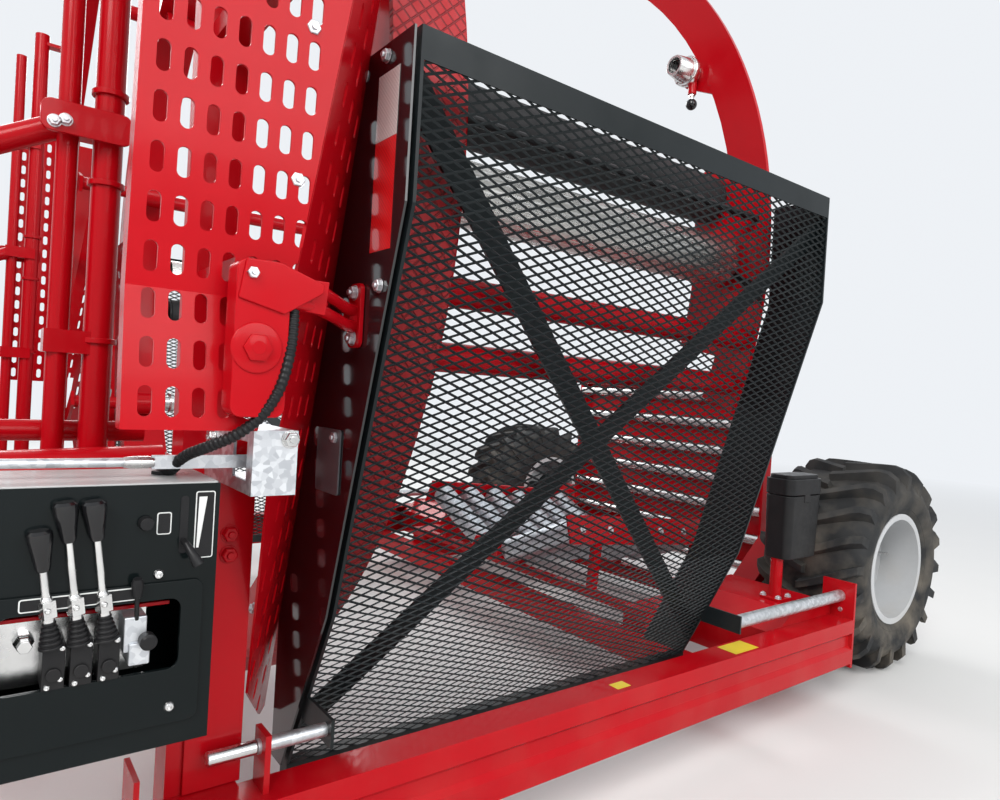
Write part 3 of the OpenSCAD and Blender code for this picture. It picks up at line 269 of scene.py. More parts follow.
ENGINE = paint("engine_grey", (0.060, 0.063, 0.066), (0.035, 0.037, 0.040), (0.35, 0.55), coat=0.1, metallic=0.3)
YELLOW = paint("yellow_plate", (0.78, 0.60, 0.02), (0.66, 0.50, 0.02), (0.3, 0.45), coat=0.3, dust=0.1)
WHITE = paint("white_plate", (0.72, 0.73, 0.72), (0.60, 0.61, 0.60), (0.3, 0.45), coat=0.3, dust=0.1)
BALL = paint("black_ball", (0.008, 0.008, 0.009), (0.005, 0.005, 0.006), (0.10, 0.18), coat=0.25, dust=0.0,
             shine=0.35)


def tape(name, base, shade):
    """Retroreflective tape: a fine square lattice of prisms under gloss."""
    m, nt, b = new_material(name)
    ch = node(nt, "TexChecker", Scale=PRISMS)
    link(nt, own_coords(nt), ch.inputs["Vector"])
    colour = mixed(nt, ch.outputs["Fac"], base, shade)
    link(nt, mixed(nt, spread(nt, noise(nt, 30, 4), 0.4, 0.7, 0.0, 0.3), colour, shade), b.inputs["Base Color"])
    preset(b, Roughness=0.28, Coat_Weight=0.8)
    bump(nt, b, ch.outputs["Fac"], 0.25, TAPE_RELIEF)
    return m


TAPE_WHITE = tape("tape_white", (0.66, 0.66, 0.64), (0.50, 0.50, 0.49))
TAPE_RED = tape("tape_red", (0.72, 0.012, 0.016), (0.52, 0.008, 0.010))

# Solids that aren't red
NODE_LOOKS = {
    BLACK: ["end_walls", "pusher_barrel"],
    CABINET: ["control_cabinet"],
    MESH_BLACK: ["mesh_guard_frame_near", "mesh_guard_frame_far", "mesh_guard_grille_near",
                 "mesh_guard_grille_far", "rear_wheel_motors", "jack_body"],
    ZINC: ["trip_linkage", "jack_leg"],
    STEEL: ["valve_block", "cylinder_stage_1", "cylinder_stage_2", "film_cones", "exit_ramp_bars"],
    ALUMINIUM: ["ribbed_rollers"],
    ROLLER: ["rear_table_rollers", "feed_table_rollers"],
    TYRE: ["rear_tyre_near", "rear_tyre_far", "front_tyre_near", "front_tyre_far"],
    ROLL_RUBBER: ["rubber_rollers"],
    RIM: ["rear_rim_near", "rear_rim_far", "front_rim_near", "front_rim_far"],
    PLASTIC: ["hoop_drive", "document_box", "control_levers"],
    ENGINE: ["engine"],
    BELT: ["hoop_belt"],
}
look_of = {n: m for m, names in NODE_LOOKS.items() for n in names}
for name, o in NODES.items():
    o.data.materials.clear()
    o.data.materials.append(look_of.get(name, RED))


# Mesh building


def frame_along(a, b):
    """A matrix that takes +Z to the way from a to b, with its origin at a."""
    d = (b - a).normalized()
    return Matrix.Translation(a) @ d.to_track_quat("Z", "Y").to_matrix().to_4x4()


class Build:
    """Gathers boxes, lathes and tubes into one mesh object."""

    def __init__(self):
        self.verts, self.faces = [], []

    def add(self, verts, faces, m=Matrix.Identity(4)):
        n = len(self.verts)
        flip = m.to_3x3().determinant() < 0
        self.verts += [m @ Vector(v) for v in verts]
        self.faces += [tuple(n + i for i in (reversed(f) if flip else f)) for f in faces]

    def box(self, lo, hi, m=Matrix.Identity(4)):
        (a, b, c), (d, e, f) = lo, hi
        v = [(x, y, z) for z in (c, f) for y in (b, e) for x in (a, d)]
        self.add(v, [(0, 2, 3, 1), (4, 5, 7, 6), (0, 1, 5, 4), (2, 6, 7, 3), (0, 4, 6, 2), (1, 3, 7, 5)], m)

    def block(self, lo, hi):
        """A box between two places, each given as (u, y, z)."""
        self.box(lo, hi, moved(0, 0, 0))

    def side_block(self, side, u, y, z):
        """A block over ranges of u and z, and of the distance from the machine's middle on one side."""
        y0, y1 = sorted(-side * v for v in y)
        self.block((u[0], y0, z[0]), (u[1], y1, z[1]))

    def prism(self, outline, z0, z1, m=Matrix.Identity(4), upper=None):
        """An outline (counterclockwise) between two heights, or one that changes into another."""
        n = len(outline)
        v = [(x, y, z0) for x, y in outline] + [(x, y, z1) for x, y in upper or outline]
        sides = [(i, (i + 1) % n, n + (i + 1) % n, n + i) for i in range(n)]
        self.add(v, [tuple(range(n))[::-1], tuple(range(n, 2 * n)), *sides], m)

    def lathe(self, profile, m=Matrix.Identity(4), n=32):
        """Points (radius, height) turned about +Z. A radius of 0 closes the end."""
        v, rows = [], []
        for r, h in profile:
            if r == 0:
                rows.append([len(v)] * n)
                v.append((0, 0, h))
            else:
                rows.append([len(v) + i for i in range(n)])
                v += [(r * math.cos(2 * math.pi * i / n), r * math.sin(2 * math.pi * i / n), h) for i in range(n)]
        f = []
        for p, q in zip(rows, rows[1:]):
            for i in range(n):
                j = (i + 1) % n
                face = [p[i], p[j], q[j], q[i]]
                face = [k for i2, k in enumerate(face) if k not in face[:i2]]
                if len(face) > 2:
                    f.append(tuple(face))
        self.add(v, f, m)

    def turned(self, profile, m, n=32):
        """A lathe with both of its ends filled flat."""
        self.lathe([(0, profile[0][1]), *profile, (0, profile[-1][1])], m, n)

    def disc(self, r, h, m, n=32, h0=0):
        """A disc, or a plain hexagon where n is 6, between two heights."""
        self.turned([(r, h0), (r, h)], m, n)

    def rod(self, a, b, r, n=24):
        self.disc(r, (b - a).length, frame_along(a, b), n)

    def tube(self, path, radii, n=12):
        """A tube along points, with a radius for each point or one for all, and closed ends."""
        k = len(path)
        if not hasattr(radii, "__len__"):
            radii = [radii] * k
        v, up = [], None
        for i, p in enumerate(path):
            t = (path[min(i + 1, k - 1)] - path[max(i - 1, 0)]).normalized()
            if up is None:
                up = t.orthogonal().normalized()
            up = (up - t * up.dot(t)).normalized()
            side = t.cross(up)
            for j in range(n):
                a = 2 * math.pi * j / n
                v.append(p + (up * math.cos(a) + side * math.sin(a)) * radii[i])
        f = [(i * n + j, i * n + (j + 1) % n, (i + 1) * n + (j + 1) % n, (i + 1) * n + j)
             for i in range(k - 1) for j in range(n)]
        f += [tuple(range(n))[::-1], tuple(range((k - 1) * n, k * n))]
        self.add(v, f)

    def bolt(self, p, normal, d=0.016, washer=True):
        """A hexagon head on a washer, and its thread's end, on a face at p. All follow the thread's diameter."""
        m = frame_along(p, p + Vector(normal).normalized())
        h = 0
        if washer:
            h = d * 0.12
            self.disc(d, h, m, 20)
        head, end = h + d * 0.62, h + d * 0.9
        self.turned([(d * 0.86, h), (d * 0.86, h + d * 0.5), (d * 0.74, head)], m, 6)
        self.turned([(d * 0.4, head), (d * 0.36, end)], m, 12)

    def screw(self, p, normal, d=0.012):
        """A round button head with a socket, on a face at p."""
        m = frame_along(p, p + Vector(normal).normalized())
        r = d / 2
        self.turned([(r, 0), (r * 0.96, r * 0.3), (r * 0.7, r * 0.62), (r * 0.42, r * 0.7),
                           (r * 0.40, r * 0.25)], m, 20)

    def bolts(self, rows, normal, d, washer=True):
        for p in rows:
            self.bolt(at(*p), normal, d, washer)

    def make(self, name, material, bevel=0.0, body="chassis", angle=32, segments=2, replaces=None):
        """Makes a piece of what was gathered: smooth apart from edges sharper than the angle, bevelled, riding on
        a body. The builder is empty then, for the next piece."""
        mesh = bpy.data.meshes.new(name)
        mesh.from_pydata([tuple(v) for v in self.verts], [], self.faces)
        self.verts, self.faces = [], []
        mesh.validate()
        bm = bmesh.new()
        bm.from_mesh(mesh)
        bmesh.ops.recalc_face_normals(bm, faces=bm.faces)
        bm.to_mesh(mesh)
        bm.free()
        mesh.polygons.foreach_set("use_smooth", [True] * len(mesh.polygons))
        mesh.set_sharp_from_angle(angle=math.radians(angle))
        mesh.materials.append(material)
        o = placed(name, mesh)
        if bevel:
            mod = o.modifiers.new("edges", "BEVEL")
            mod.width, mod.segments, mod.limit_method = bevel, segments, "ANGLE"
            mod.angle_limit = math.radians(40)
            mod.harden_normals = True
        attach(o, body)
        if replaces:
            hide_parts(replaces)
        return o


# Camera, at the photograph's place and angle

camera_data = bpy.data.cameras.new("camera")
camera_data.sensor_width = 36
camera_data.lens = 25.2
camera_data.clip_start = 0.05
camera = placed("camera", camera_data)
RIGHT, UP, FORWARD = (0.79196, -0.60769, 0.05929), (-0.0409, 0.04409, 0.99819), (0.6092, 0.79295, -0.01006)
camera.matrix_world = moved(-0.62, -2.35, 0.975) @ Matrix([
    [RIGHT[i], UP[i], -FORWARD[i], 0] for i in range(3)] + [[0, 0, 0, 1]])
bpy.context.scene.camera = camera


# Expanded mesh of the side guards

GUARD_U0, GUARD_L, FLANGE_T = -0.084, 1.234, 0.006
HINGE_Y, HINGE_Z, HINGE_PIN_R = 1.200, 0.360, 0.012
SKIN = [(1.030, 0.220), (1.200, 0.560), (1.400, 1.260), (1.400, 1.530)]
CELL_W, CELL_H = 0.0445, 0.0176
STRAND_W, STRAND_T = 0.0042, 0.0024
# Strands are cut and stretched, so they stand at an angle to the sheet
LEAN_IN_SHEET, LEAN_OUT = 0.8, 0.6
INSET = 0.0016


def expanded_panel(build, p, q, side):
    """Strands of expanded metal on one flat stretch of the guard, between two points of its outline."""
    p0, q0 = Vector((0, -side * p[0], p[1])), Vector((0, -side * q[0], q[1]))
    rise = q0 - p0
    length = rise.length
    up = rise.normalized()
    across = Vector((1, 0, 0))
    out = Vector((0, -side, 0))
    out = (out - up * out.dot(up)).normalized()
    u0 = GUARD_U0 + FLANGE_T
    width = GUARD_L - 2 * FLANGE_T
    cols = round(width / CELL_W)
    rows = round(length / CELL_H)
    cw, ch = width / cols, length / rows

    def point(i, j):
        return at(u0, 0, 0) + p0 + across * (i * cw / 2) + up * (j * ch / 2) - out * INSET

    for j in range(2 * rows):
        for i in range(2 * cols):
            # Knots lie where i + j is even, and a strand joins each to the next knot up or down
            a, b = (point(i, j), point(i + 1, j + 1)) if (i + j) % 2 == 0 else (point(i, j + 1), point(i + 1, j))
            d = (b - a).normalized()
            tilt = (out.cross(d).normalized() * LEAN_IN_SHEET + out * LEAN_OUT).normalized()
            thin = d.cross(tilt).normalized()
            s, t = tilt * STRAND_W / 2, thin * STRAND_T / 2
            v = [a - s - t, a + s - t, a + s + t, a - s + t, b - s - t, b + s - t, b + s + t, b - s + t]
            build.add(v, [(0, 1, 5, 4), (1, 2, 6, 5), (2, 3, 7, 6), (3, 0, 4, 7)])


b = Build()
for side, label in SIDES:
    for p, q in zip(SKIN, SKIN[1:]):
        expanded_panel(b, p, q, side)
    b.make(f"expanded_mesh_{label}", MESH_BLACK, body=f"guard_{label}", replaces=f"mesh_guard_grille_{label}")


# Wheels: rear tyres with bar lugs, nuts, hubs and valves

REAR_WHEEL_Y, TYRE_W, RIM_R = 1.000, 0.394, 0.200
FRONT_AXLE_U, FRONT_WHEEL_Y, FRONT_WHEEL_R = -3.100, 0.800, 0.275
LUGS, LUG_H = 20, 0.028
LUG_STEPS, LUG_SWEEP = 9, 0.098


def carcass(w, r_out, r_rim):
    """Section of a tyre as (radius, offset), from one bead over the tread to the other."""
    h = w / 2
    half = [(r_rim, h - 0.030), (r_rim + 0.012, h - 0.020), (r_rim + 0.030, h - 0.012), (r_rim + 0.060, h - 0.002),
            (r_rim + 0.090, h), (r_out - 0.070, h - 0.002), (r_out - 0.046, h - 0.012), (r_out - 0.028, h - 0.030),
            (r_out - 0.014, h - 0.058), (r_out - 0.005, h - 0.110), (r_out, h - 0.165), (r_out, 0.0)]
    return half + [(r, -y) for r, y in reversed(half[:-1])]


def surface_radius(y, w, r_out, r_rim):
    """The carcass's radius at an offset from its middle."""
    pts = [(abs(o), r) for r, o in carcass(w, r_out, r_rim)[5:12]]
    y = abs(y)
    for (y1, r1), (y0, r0) in zip(pts, pts[1:]):
        if y0 <= y <= y1:
            return r0 + (r1 - r0) * (y - y0) / (y1 - y0)
    return pts[0][1] if y > pts[0][0] else pts[-1][1]


def ag_tyre(name, node, centre, side, body):
    """A traction tyre: rounded carcass, ringed sidewalls and slanting bars that taper towards their tops."""
    b = Build()
    turn = Matrix.Translation(centre) @ Matrix.Rotation(math.radians(-90), 4, "X")
    r_out = TYRE_D / 2 - LUG_H
    b.lathe(carcass(TYRE_W, r_out, RIM_R), turn, 96)
    for y in (-1, 1):
        for r in (RIM_R + 0.034, RIM_R + 0.082, RIM_R + 0.090):
            h = y * (TYRE_W / 2 - (0.011 if r < RIM_R + 0.05 else 0.0015))
            b.lathe([(r - 0.003, h - y * 0.004), (r - 0.0015, h + y * 0.0014), (r + 0.0015, h + y * 0.0014),
                     (r + 0.003, h - y * 0.004)], turn, 72)
    last = LUG_STEPS - 1
    for i in range(LUGS):
        for flip in (1, -1):
            turn_by = (i + (0.5 if flip < 0 else 0)) * 2 * math.pi / LUGS
            rows = []
            # From just past the tread's middle out to the shoulder, where the bar drops
            for k in range(LUG_STEPS):
                s = k / last
                y = 0.012 - s * (TYRE_W / 2 + 0.008)
                lean = s ** 1.15 * LUG_SWEEP
                r0 = surface_radius(y, TYRE_W, r_out, RIM_R) - 0.010
                top = TYRE_D / 2 - 0.0005 - max(0.0, s - 0.72) ** 2 * 0.42
                if k == last:
                    top -= 0.006
                half_foot, half_top = 0.021 + 0.004 * s, 0.0125 + 0.003 * s
                for half, r in ((-half_foot, r0), (-half_top, top), (half_top, top), (half_foot, r0)):
                    a = turn_by + (half - lean) / (TYRE_D / 2)
                    rows.append((r * math.sin(a), r * math.cos(a), -y * flip))
            f = [(k + j, k + j + 1, k + j + 5, k + j + 4) for k in range(0, 4 * last, 4) for j in range(3)]
            f += [(0, 1, 2, 3), tuple(last * 4 + j for j in (3, 2, 1, 0))]
            b.add(rows, f, turn if side > 0 else turn @ Matrix.Rotation(math.pi, 4, "X"))
    b.make(name, TYRE, body=body, bevel=0.0022, angle=40, replaces=node)


for side, label in SIDES:
    hub = at(REAR_AXLE_U, -side * REAR_WHEEL_Y, TYRE_D / 2)
    ag_tyre(f"bar_tyre_{label}", f"rear_tyre_{label}", hub, side, f"rear_wheel_{label}")
    for k in range(6):
        x, z = on_circle(0.066, 30 + 60 * k)
        b.bolt(hub + Vector((x, 0, z)), (0, -side, 0), 0.018)
    b.lathe([(0, 0.018), (0.028, 0.018), (0.040, 0.010), (0.043, 0.0)],
            frame_along(hub + Vector((0, -side * 0.020, 0)), hub + Vector((0, -side * 0.05, 0))), 32)
    b.rod(hub + Vector((0.150, -side * 0.036, 0.02)), hub + Vector((0.154, -side * 0.075, 0.021)), 0.004, 10)
    b.make(f"wheel_nuts_rear_{label}", STEEL, 0.0006, f"rear_wheel_{label}")
    hub = at(FRONT_AXLE_U, -side * FRONT_WHEEL_Y, FRONT_WHEEL_R)
    for k in range(5):
        x, z = on_circle(0.042, 18 + 72 * k)
        b.bolt(hub + Vector((x, 0, z)), (0, -side, 0), 0.014)
    b.make(f"wheel_nuts_front_{label}", STEEL, 0.0006, f"front_wheel_{label}")


# Control cabinet

CAB_U, CAB_Y, CAB_Z, CAB_H = -0.345, -1.400, 0.500, 0.335


def cab(x, y, z):
    """A place measured from the foot of the cabinet's front, at its rear end."""
    return at(CAB_U + x, CAB_Y + y, CAB_Z + z)


def in_cab(x, y, z):
    return Matrix.Translation(cab(x, y, z))


def rounded(x0, y0, x1, y1, r, n=5):
    """Outline of a rectangle with rounded corners."""
    pts = []
    for cx, cy, a0 in ((x1 - r, y0 + r, -90), (x1 - r, y1 - r, 0), (x0 + r, y1 - r, 90), (x0 + r, y0 + r, 180)):
        pts += [(cx + x, cy + y) for x, y in (on_circle(r, a0 + 90 * k / n) for k in range(n + 1))]
    return pts


# A plate drawn as seen from the operator's side: outline x to the right, y up, thickness towards the operator
FACE = Matrix(((1, 0, 0, 0), (0, 0, -1, 0), (0, 1, 0, 0), (0, 0, 0, 1)))


def face_at(origin):
    return Matrix.Translation(origin) @ FACE


ON_CABINET = face_at(cab(0, 0, 0))


def ring_plate(build, outer, inner, t0, t1, m):
    """A plate with one hole: both outlines have the same number of points."""
    n = len(outer)
    v = [(x, y, t0) for x, y in outer] + [(x, y, t0) for x, y in inner]
    v += [(x, y, t1) for x, y in outer] + [(x, y, t1) for x, y in inner]
    f = []
    for i in range(n):
        j = (i + 1) % n
        f += [(2 * n + i, 2 * n + j, 3 * n + j, 3 * n + i), (i, n + i, n + j, j),
              (i, j, 2 * n + j, 2 * n + i), (n + i, 3 * n + i, 3 * n + j, n + j)]
    build.add(v, f, m)


# Lower cover: a second sheet that stands a little proud of the cabinet, with the opening for the levers
cover = rounded(-0.590, 0.030, -0.016, 0.212, 0.012)
hole = rounded(-0.236, 0.100, -0.042, 0.190, 0.014)
ring_plate(b, cover, hole, 0.0003, 0.0045, ON_CABINET)
b.make("cabinet_cover", CABINET, 0.0012)

# The lid, in the pale grey that paints the sky's reflection on the cabinet's top
b.prism(rounded(-0.598, 0.0, -0.002, 0.150, 0.004), 0.0, 0.0022, in_cab(0, 0, CAB_H))
b.make("cabinet_lid", LID, 0.0008)

for x, z in ((-0.070, 0.222), (-0.050, 0.052), (-0.330, 0.222), (-0.560, 0.222), (-0.330, 0.052),
             (-0.560, 0.052)):
    b.screw(cab(x, -0.0045 if z < 0.2 else -0.0003, z), (0, -1, 0), 0.013)
b.make("cabinet_screws", STEEL)

# Blank plates with a pale border: beside the levers, by the slide and by the knob
plates = {"lever": (-0.215, 0.194, -0.090, 0.2095, 0.0046), "slide": (-0.030, 0.238, -0.006, 0.325, 0.0004),
          "knob": (-0.075, 0.272, -0.058, 0.300, 0.0004)}
for name, (x0, z0, x1, z1, lift) in plates.items():
    b.prism(rounded(x0, z0, x1, z1, 0.003), lift, lift + 0.0006, ON_CABINET)
    b.make(f"plate_border_{name}", WHITE)
    b.prism(rounded(x0 + 0.0014, z0 + 0.0014, x1 - 0.0014, z1 - 0.0014, 0.002), lift + 0.0003, lift + 0.0009,
            ON_CABINET)
    b.make(f"plate_face_{name}", PLASTIC)

b.prism([(-0.024, 0.252), (-0.016, 0.318), (-0.026, 0.318), (-0.027, 0.252)], 0.0010, 0.0016, ON_CABINET)
b.make("slide_scale", WHITE)

b.lathe([(0, 0), (0.009, 0), (0.009, 0.006), (0.0075, 0.012), (0.0, 0.0125)],
        face_at(cab(-0.088, 0, 0.288)), 24)
b.prism(rounded(-0.048, 0.246, -0.038, 0.320, 0.0048), 0.0002, 0.0010, ON_CABINET)
b.tube([cab(-0.043, -0.001, 0.262), cab(-0.042, -0.016, 0.260), cab(-0.036, -0.026, 0.248),
        cab(-0.030, -0.030, 0.236)], [0.004, 0.0045, 0.006, 0.0075], 14)
b.make("knob_and_slide", PLASTIC, 0.0006)

# Sectional valve with its levers, seen through the opening
for x in (-0.320, -0.290, -0.262, -0.206, -0.178, -0.150, -0.121, -0.092):
    b.box((x - 0.0128, -0.034, 0.097), (x + 0.0128, 0.034, 0.176), in_cab(0, 0.071, 0))
for x in (-0.206, -0.092):
    b.turned([(0.011, 0), (0.011, 0.012), (0.008, 0.014), (0.008, 0.03)],
            face_at(cab(x, 0.037, 0.150)), 6)
for z in (0.108, 0.164):
    b.rod(cab(-0.345, 0.071, z), cab(-0.070, 0.071, z), 0.006, 16)
    b.bolt(cab(-0.078, 0.071, z), (1, 0, 0), 0.012)
b.make("valve_sections", STEEL, 0.0018)

b.box((-0.106, -0.030, 0.128), (-0.080, 0.030, 0.172), in_cab(0, 0.028, 0))
b.box((-0.100, -0.034, 0.112), (-0.076, 0.010, 0.140), in_cab(0, 0.028, 0))
b.make("valve_cap", ZINC, 0.002)

b.box((-0.240, 0.0, 0.176), (-0.050, 0.060, 0.181), in_cab(0, 0.020, 0))
b.make("valve_strip", RED, 0.001)

# The levers, each at its place and of its length, all leaning forwards and a little outwards
LEVERS = ((-0.178, 0.098), (-0.150, 0.130), (-0.121, 0.130))
FOLDS, FOLD_H = 6, 0.0056
way = Vector((-0.135, -0.050, 1)).normalized()
bodies, rods, knobs, screws = (Build() for _ in range(4))
for x, reach in LEVERS:
    foot = cab(x - 0.003, -0.004, 0.150)
    bodies.box((-0.0115, -0.020, 0.0), (0.0115, 0.020, 0.054), in_cab(x, 0.014, 0.100))
    bodies.disc(0.008, 0.004, face_at(cab(x, -0.006, 0.118)), 20)
    m = frame_along(foot, foot + way)
    profile = [(0, 0)]
    for k in range(FOLDS):
        r, h = 0.0135 - 0.0012 * k, k * FOLD_H
        profile += [(r, h), (r, h + 0.003), (r - 0.0032, h + 0.0043)]
    profile += [(0.006, 0.036), (0, 0.036)]
    bodies.lathe(profile, m, 28)
    rods.turned([(0.0066, 0.030), (0.0066, 0.058), (0.0045, 0.061), (0.0042, reach)], m, 18)
    rods.box((-0.0070, -0.0070, 0.036), (0.0070, 0.0070, 0.056), m)
    rods.screw(foot + way * 0.046 + Vector((0, -0.008, 0)), (0, -1, 0), 0.007)
    t = reach - 0.006
    knobs.lathe([(0, t), (0.0068, t), (0.0082, t + 0.004), (0.0104, t + 0.020), (0.0134, t + 0.038),
                 (0.0132, t + 0.045), (0.0098, t + 0.0480), (0, t + 0.0485)], m, 28)
    for dx, dz in ((-0.006, 0.104), (0.007, 0.112), (0.008, 0.148)):
        screws.screw(cab(x + dx, -0.006, dz), (0, -1, 0), 0.0075)
bodies.make("lever_bodies", PLASTIC, 0.0012, replaces="control_levers")
rods.make("lever_rods", STEEL, 0.0004)
knobs.make("lever_knobs", BALL)
screws.make("lever_screws", STEEL)

m = frame_along(cab(-0.092, 0.0, 0.168), cab(-0.096, -0.014, 0.226))
b.lathe([(0, 0), (0.0028, 0), (0.0028, 0.030), (0.0055, 0.032), (0.0072, 0.050), (0.005, 0.056), (0, 0.057)], m, 20)
b.turned([(0.010, 0), (0.010, 0.014), (0.007, 0.016)], face_at(cab(-0.080, -0.002, 0.142)), 24)
b.make("small_lever", PLASTIC)


# Guard latch with its hose

WALL_U = -0.0965
LATCH_Y = -1.412
BOSS_U, BOSS_Z = -0.325, 1.014
# Outlines on the end wall's front: x across the machine, y up, thickness forwards
ON_WALL = moved(WALL_U, 0, 0) @ Matrix(((0, 0, -1, 0), (1, 0, 0, 0), (0, 1, 0, 0), (0, 0, 0, 1)))
ON_LATCH = face_at(at(0, LATCH_Y, 0))
b.prism(rounded(-0.354, 0.925, -0.284, 1.126, 0.014), 0.0, 0.040, ON_LATCH)
b.prism([(-0.352, 1.075), (-0.292, 1.060), (-0.240, 1.094), (-0.240, 1.106), (-0.300, 1.126), (-0.344, 1.126)],
        0.036, 0.044, ON_LATCH)
b.lathe([(0, 0), (0.033, 0), (0.033, 0.004), (0.026, 0.0055), (0.0, 0.0055)],
        face_at(at(BOSS_U, -1.4505, BOSS_Z)), 40)
b.make("latch_housing", RED, 0.003, replaces="guard_latch")

on_boss = face_at(at(BOSS_U, -1.4559, BOSS_Z))
b.turned([(0.019, 0), (0.019, 0.0045), (0.016, 0.006)], on_boss, 6)
b.disc(0.009, 0.0066, on_boss, 20, 0.0055)
b.make("latch_boss_bolt", RED, 0.001)

# Two bars that reach round from the latch to the pad on the end wall
for dz in (0.0, 0.026):
    b.tube([at(-0.306, -1.444, 1.104 - dz), at(-0.270, -1.446, 1.104 - dz), at(-0.238, -1.430, 1.102 - dz),
            at(-0.180, -1.354, 1.100 - dz), at(-0.140, -1.300, 1.098 - dz), at(-0.108, -1.264, 1.098 - dz)],
           [0.009, 0.009, 0.009, 0.009, 0.010, 0.012], 12)
b.prism([(-0.306, 1.072), (-0.232, 1.066), (-0.228, 1.112), (-0.306, 1.112)], 0.016, 0.024, face_at(at(0, -1.420, 0)))
b.prism(rounded(-1.285, 1.036, -1.241, 1.144, 0.012), 0.0, 0.008, ON_WALL)
b.block((-0.118, -1.276, 1.072), (-0.102, -1.250, 1.106))
b.make("latch_arm", RED, 0.0015)

b.bolts([(-0.1045, -1.263, 1.128), (-0.1045, -1.263, 1.052)], (-1, 0, 0), 0.013)
b.bolt(at(-0.336, -1.456, 1.108), (0, -1, 0), 0.009, washer=False)
b.bolts([(-0.262, -1.416, 1.455), (-0.268, -1.4035, 1.250)], (0, -1, 0), 0.012)
b.make("latch_bolts", ZINC, 0.0006)


def hose_path(pts, per):
    """A smooth curve through points, with a number of steps from each to the next."""
    out = []
    for i in range(len(pts) - 1):
        p0, p1, p2, p3 = pts[max(i - 1, 0)], pts[i], pts[i + 1], pts[min(i + 2, len(pts) - 1)]
        for k in range(per):
            t = k / per
            out.append(0.5 * ((2 * p1) + (p2 - p0) * t + (2 * p0 - 5 * p1 + 4 * p2 - p3) * t * t
                              + (3 * p1 - p0 - 3 * p2 + p3) * t ** 3))
    return out + [pts[-1]]


route = hose_path([
    at(-0.276, -1.440, 1.078), at(-0.277, -1.446, 1.050), at(-0.281, -1.450, 1.010), at(-0.292, -1.452, 0.965),
    at(-0.312, -1.448, 0.928), at(-0.338, -1.434, 0.902), at(-0.362, -1.404, 0.884), at(-0.380, -1.364, 0.868),
    at(-0.392, -1.332, 0.848)], 24)
HOSE_CREST_R, HOSE_GROOVE_R = 0.0078, 0.0066
b.tube(route, [HOSE_CREST_R if k % 4 < 2 else HOSE_GROOVE_R for k in range(len(route))], 14)
hose = b.make("latch_hose", PLASTIC)
b.rod(at(-0.3895, -1.3385, 0.8525), at(-0.398, -1.314, 0.8365), 0.0105, 20)
b.disc(0.016, 0.005, moved(-0.397, -1.317, 0.8372), 6)
b.make("hose_gland", PLASTIC, 0.0006)


# Reflective tape on both end walls, and the grey plate on the near one

for side, label in SIDES:
    for name, mat, z0, z1 in (("white", TAPE_WHITE, 1.372, 1.481), ("red", TAPE_RED, 1.192, 1.3715)):
        b.side_block(side, (WALL_U - 0.0004, WALL_U), (1.292, 1.362), (z0, z1))
        b.make(f"tape_{name}_{label}", mat)

b.prism(rounded(-1.226, 0.780, -1.130, 0.894, 0.006), 0.0, 0.003, ON_WALL)
b.make("wall_plate", GREY_PLATE, 0.0006)

b.bolts([(WALL_U, -1.205, 0.880), (WALL_U, -1.318, 1.508), (WALL_U, -1.240, 1.50), (WALL_U, -1.335, 1.135)],
        (-1, 0, 0), 0.012)
b.make("wall_bolts", ZINC, 0.0006)


# Side rails: bolts through the end plates, and the blank yellow plates on top

for side, label in SIDES:
    for y, z in ((1.205, 0.315), (1.212, 0.262), (1.212, 0.172)):
        b.bolt(at(1.7702, -side * y, z), (1, 0, 0), 0.014)
        b.disc(0.008, 0.004, frame_along(at(1.7598, -side * y, z), at(1.7, -side * y, z)), 6)
    b.make(f"end_plate_bolts_{label}", ZINC, 0.0008)
    for name, u0, y0, length, width in (("rear", 1.110, 1.178, 0.110, 0.062), ("front", 0.640, 1.205, 0.045, 0.030)):
        b.side_block(side, (u0, u0 + length), (y0, y0 + width), (0.2902, 0.2907))
        b.make(f"yellow_plate_{name}_{label}", YELLOW)


# Mast tubes: collars, clips and their bolts

MAST_Y = 0.905
for side, label in SIDES:
    b, c = Build(), Build()
    y = -side * MAST_Y
    for z in (1.46, 1.30, 1.02):
        b.lathe([(0.0245, 0), (0.030, 0), (0.030, 0.010), (0.0245, 0.010), (0.0245, 0)],
                moved(-0.430, y, z), 32)
    clip_y = y - side * 0.034 + (0.0 if side > 0 else 0.008)
    b.prism(rounded(-0.536, 1.370, -0.398, 1.424, 0.016), 0.0, 0.008, face_at(at(0, clip_y, 0)))
    c.bolts([(-0.516, y - side * 0.042, 1.386), (-0.500, y - side * 0.042, 1.392)], (0, -side, 0), 0.011)
    b.make(f"mast_clips_{label}", RED, 0.0015)
    c.make(f"mast_bolts_{label}", ZINC, 0.0006)


# Hoop and film dispensers

PLATE_U0, PLATE_U1, PLATE_T = 0.075, 1.079, 0.012
REAR_PLATE_U = PLATE_U1 - PLATE_T
RIM_RADIUS = 1.288
RIDGES, RIDGE_R, GROOVE_R = 44, 0.0675, 0.0625
BALL_R, BALL_H = 0.0165, 0.074
# Takes a shape's height to the way along the machine
TURN_X = Matrix.Rotation(math.radians(90), 4, "Y")


def polar(radius, angle):
    """Where something stands in a dispenser's plane, with 0 degrees towards the operator."""
    x, y = on_circle(radius, angle)
    return Vector((0, -x, y))


RUBBER = polar(RIM_RADIUS - 0.181, 8.3)
RIBBED = polar(RIM_RADIUS - 0.138, -1.2)
FILM = polar(RIM_RADIUS - 0.142, 29)

# Outlines in a dispenser plate's plane: x across the machine, y up, thickness along it
IN_PLATE = Matrix(((0, 0, 1, 0), (1, 0, 0, 0), (0, 1, 0, 0), (0, 0, 0, 1)))

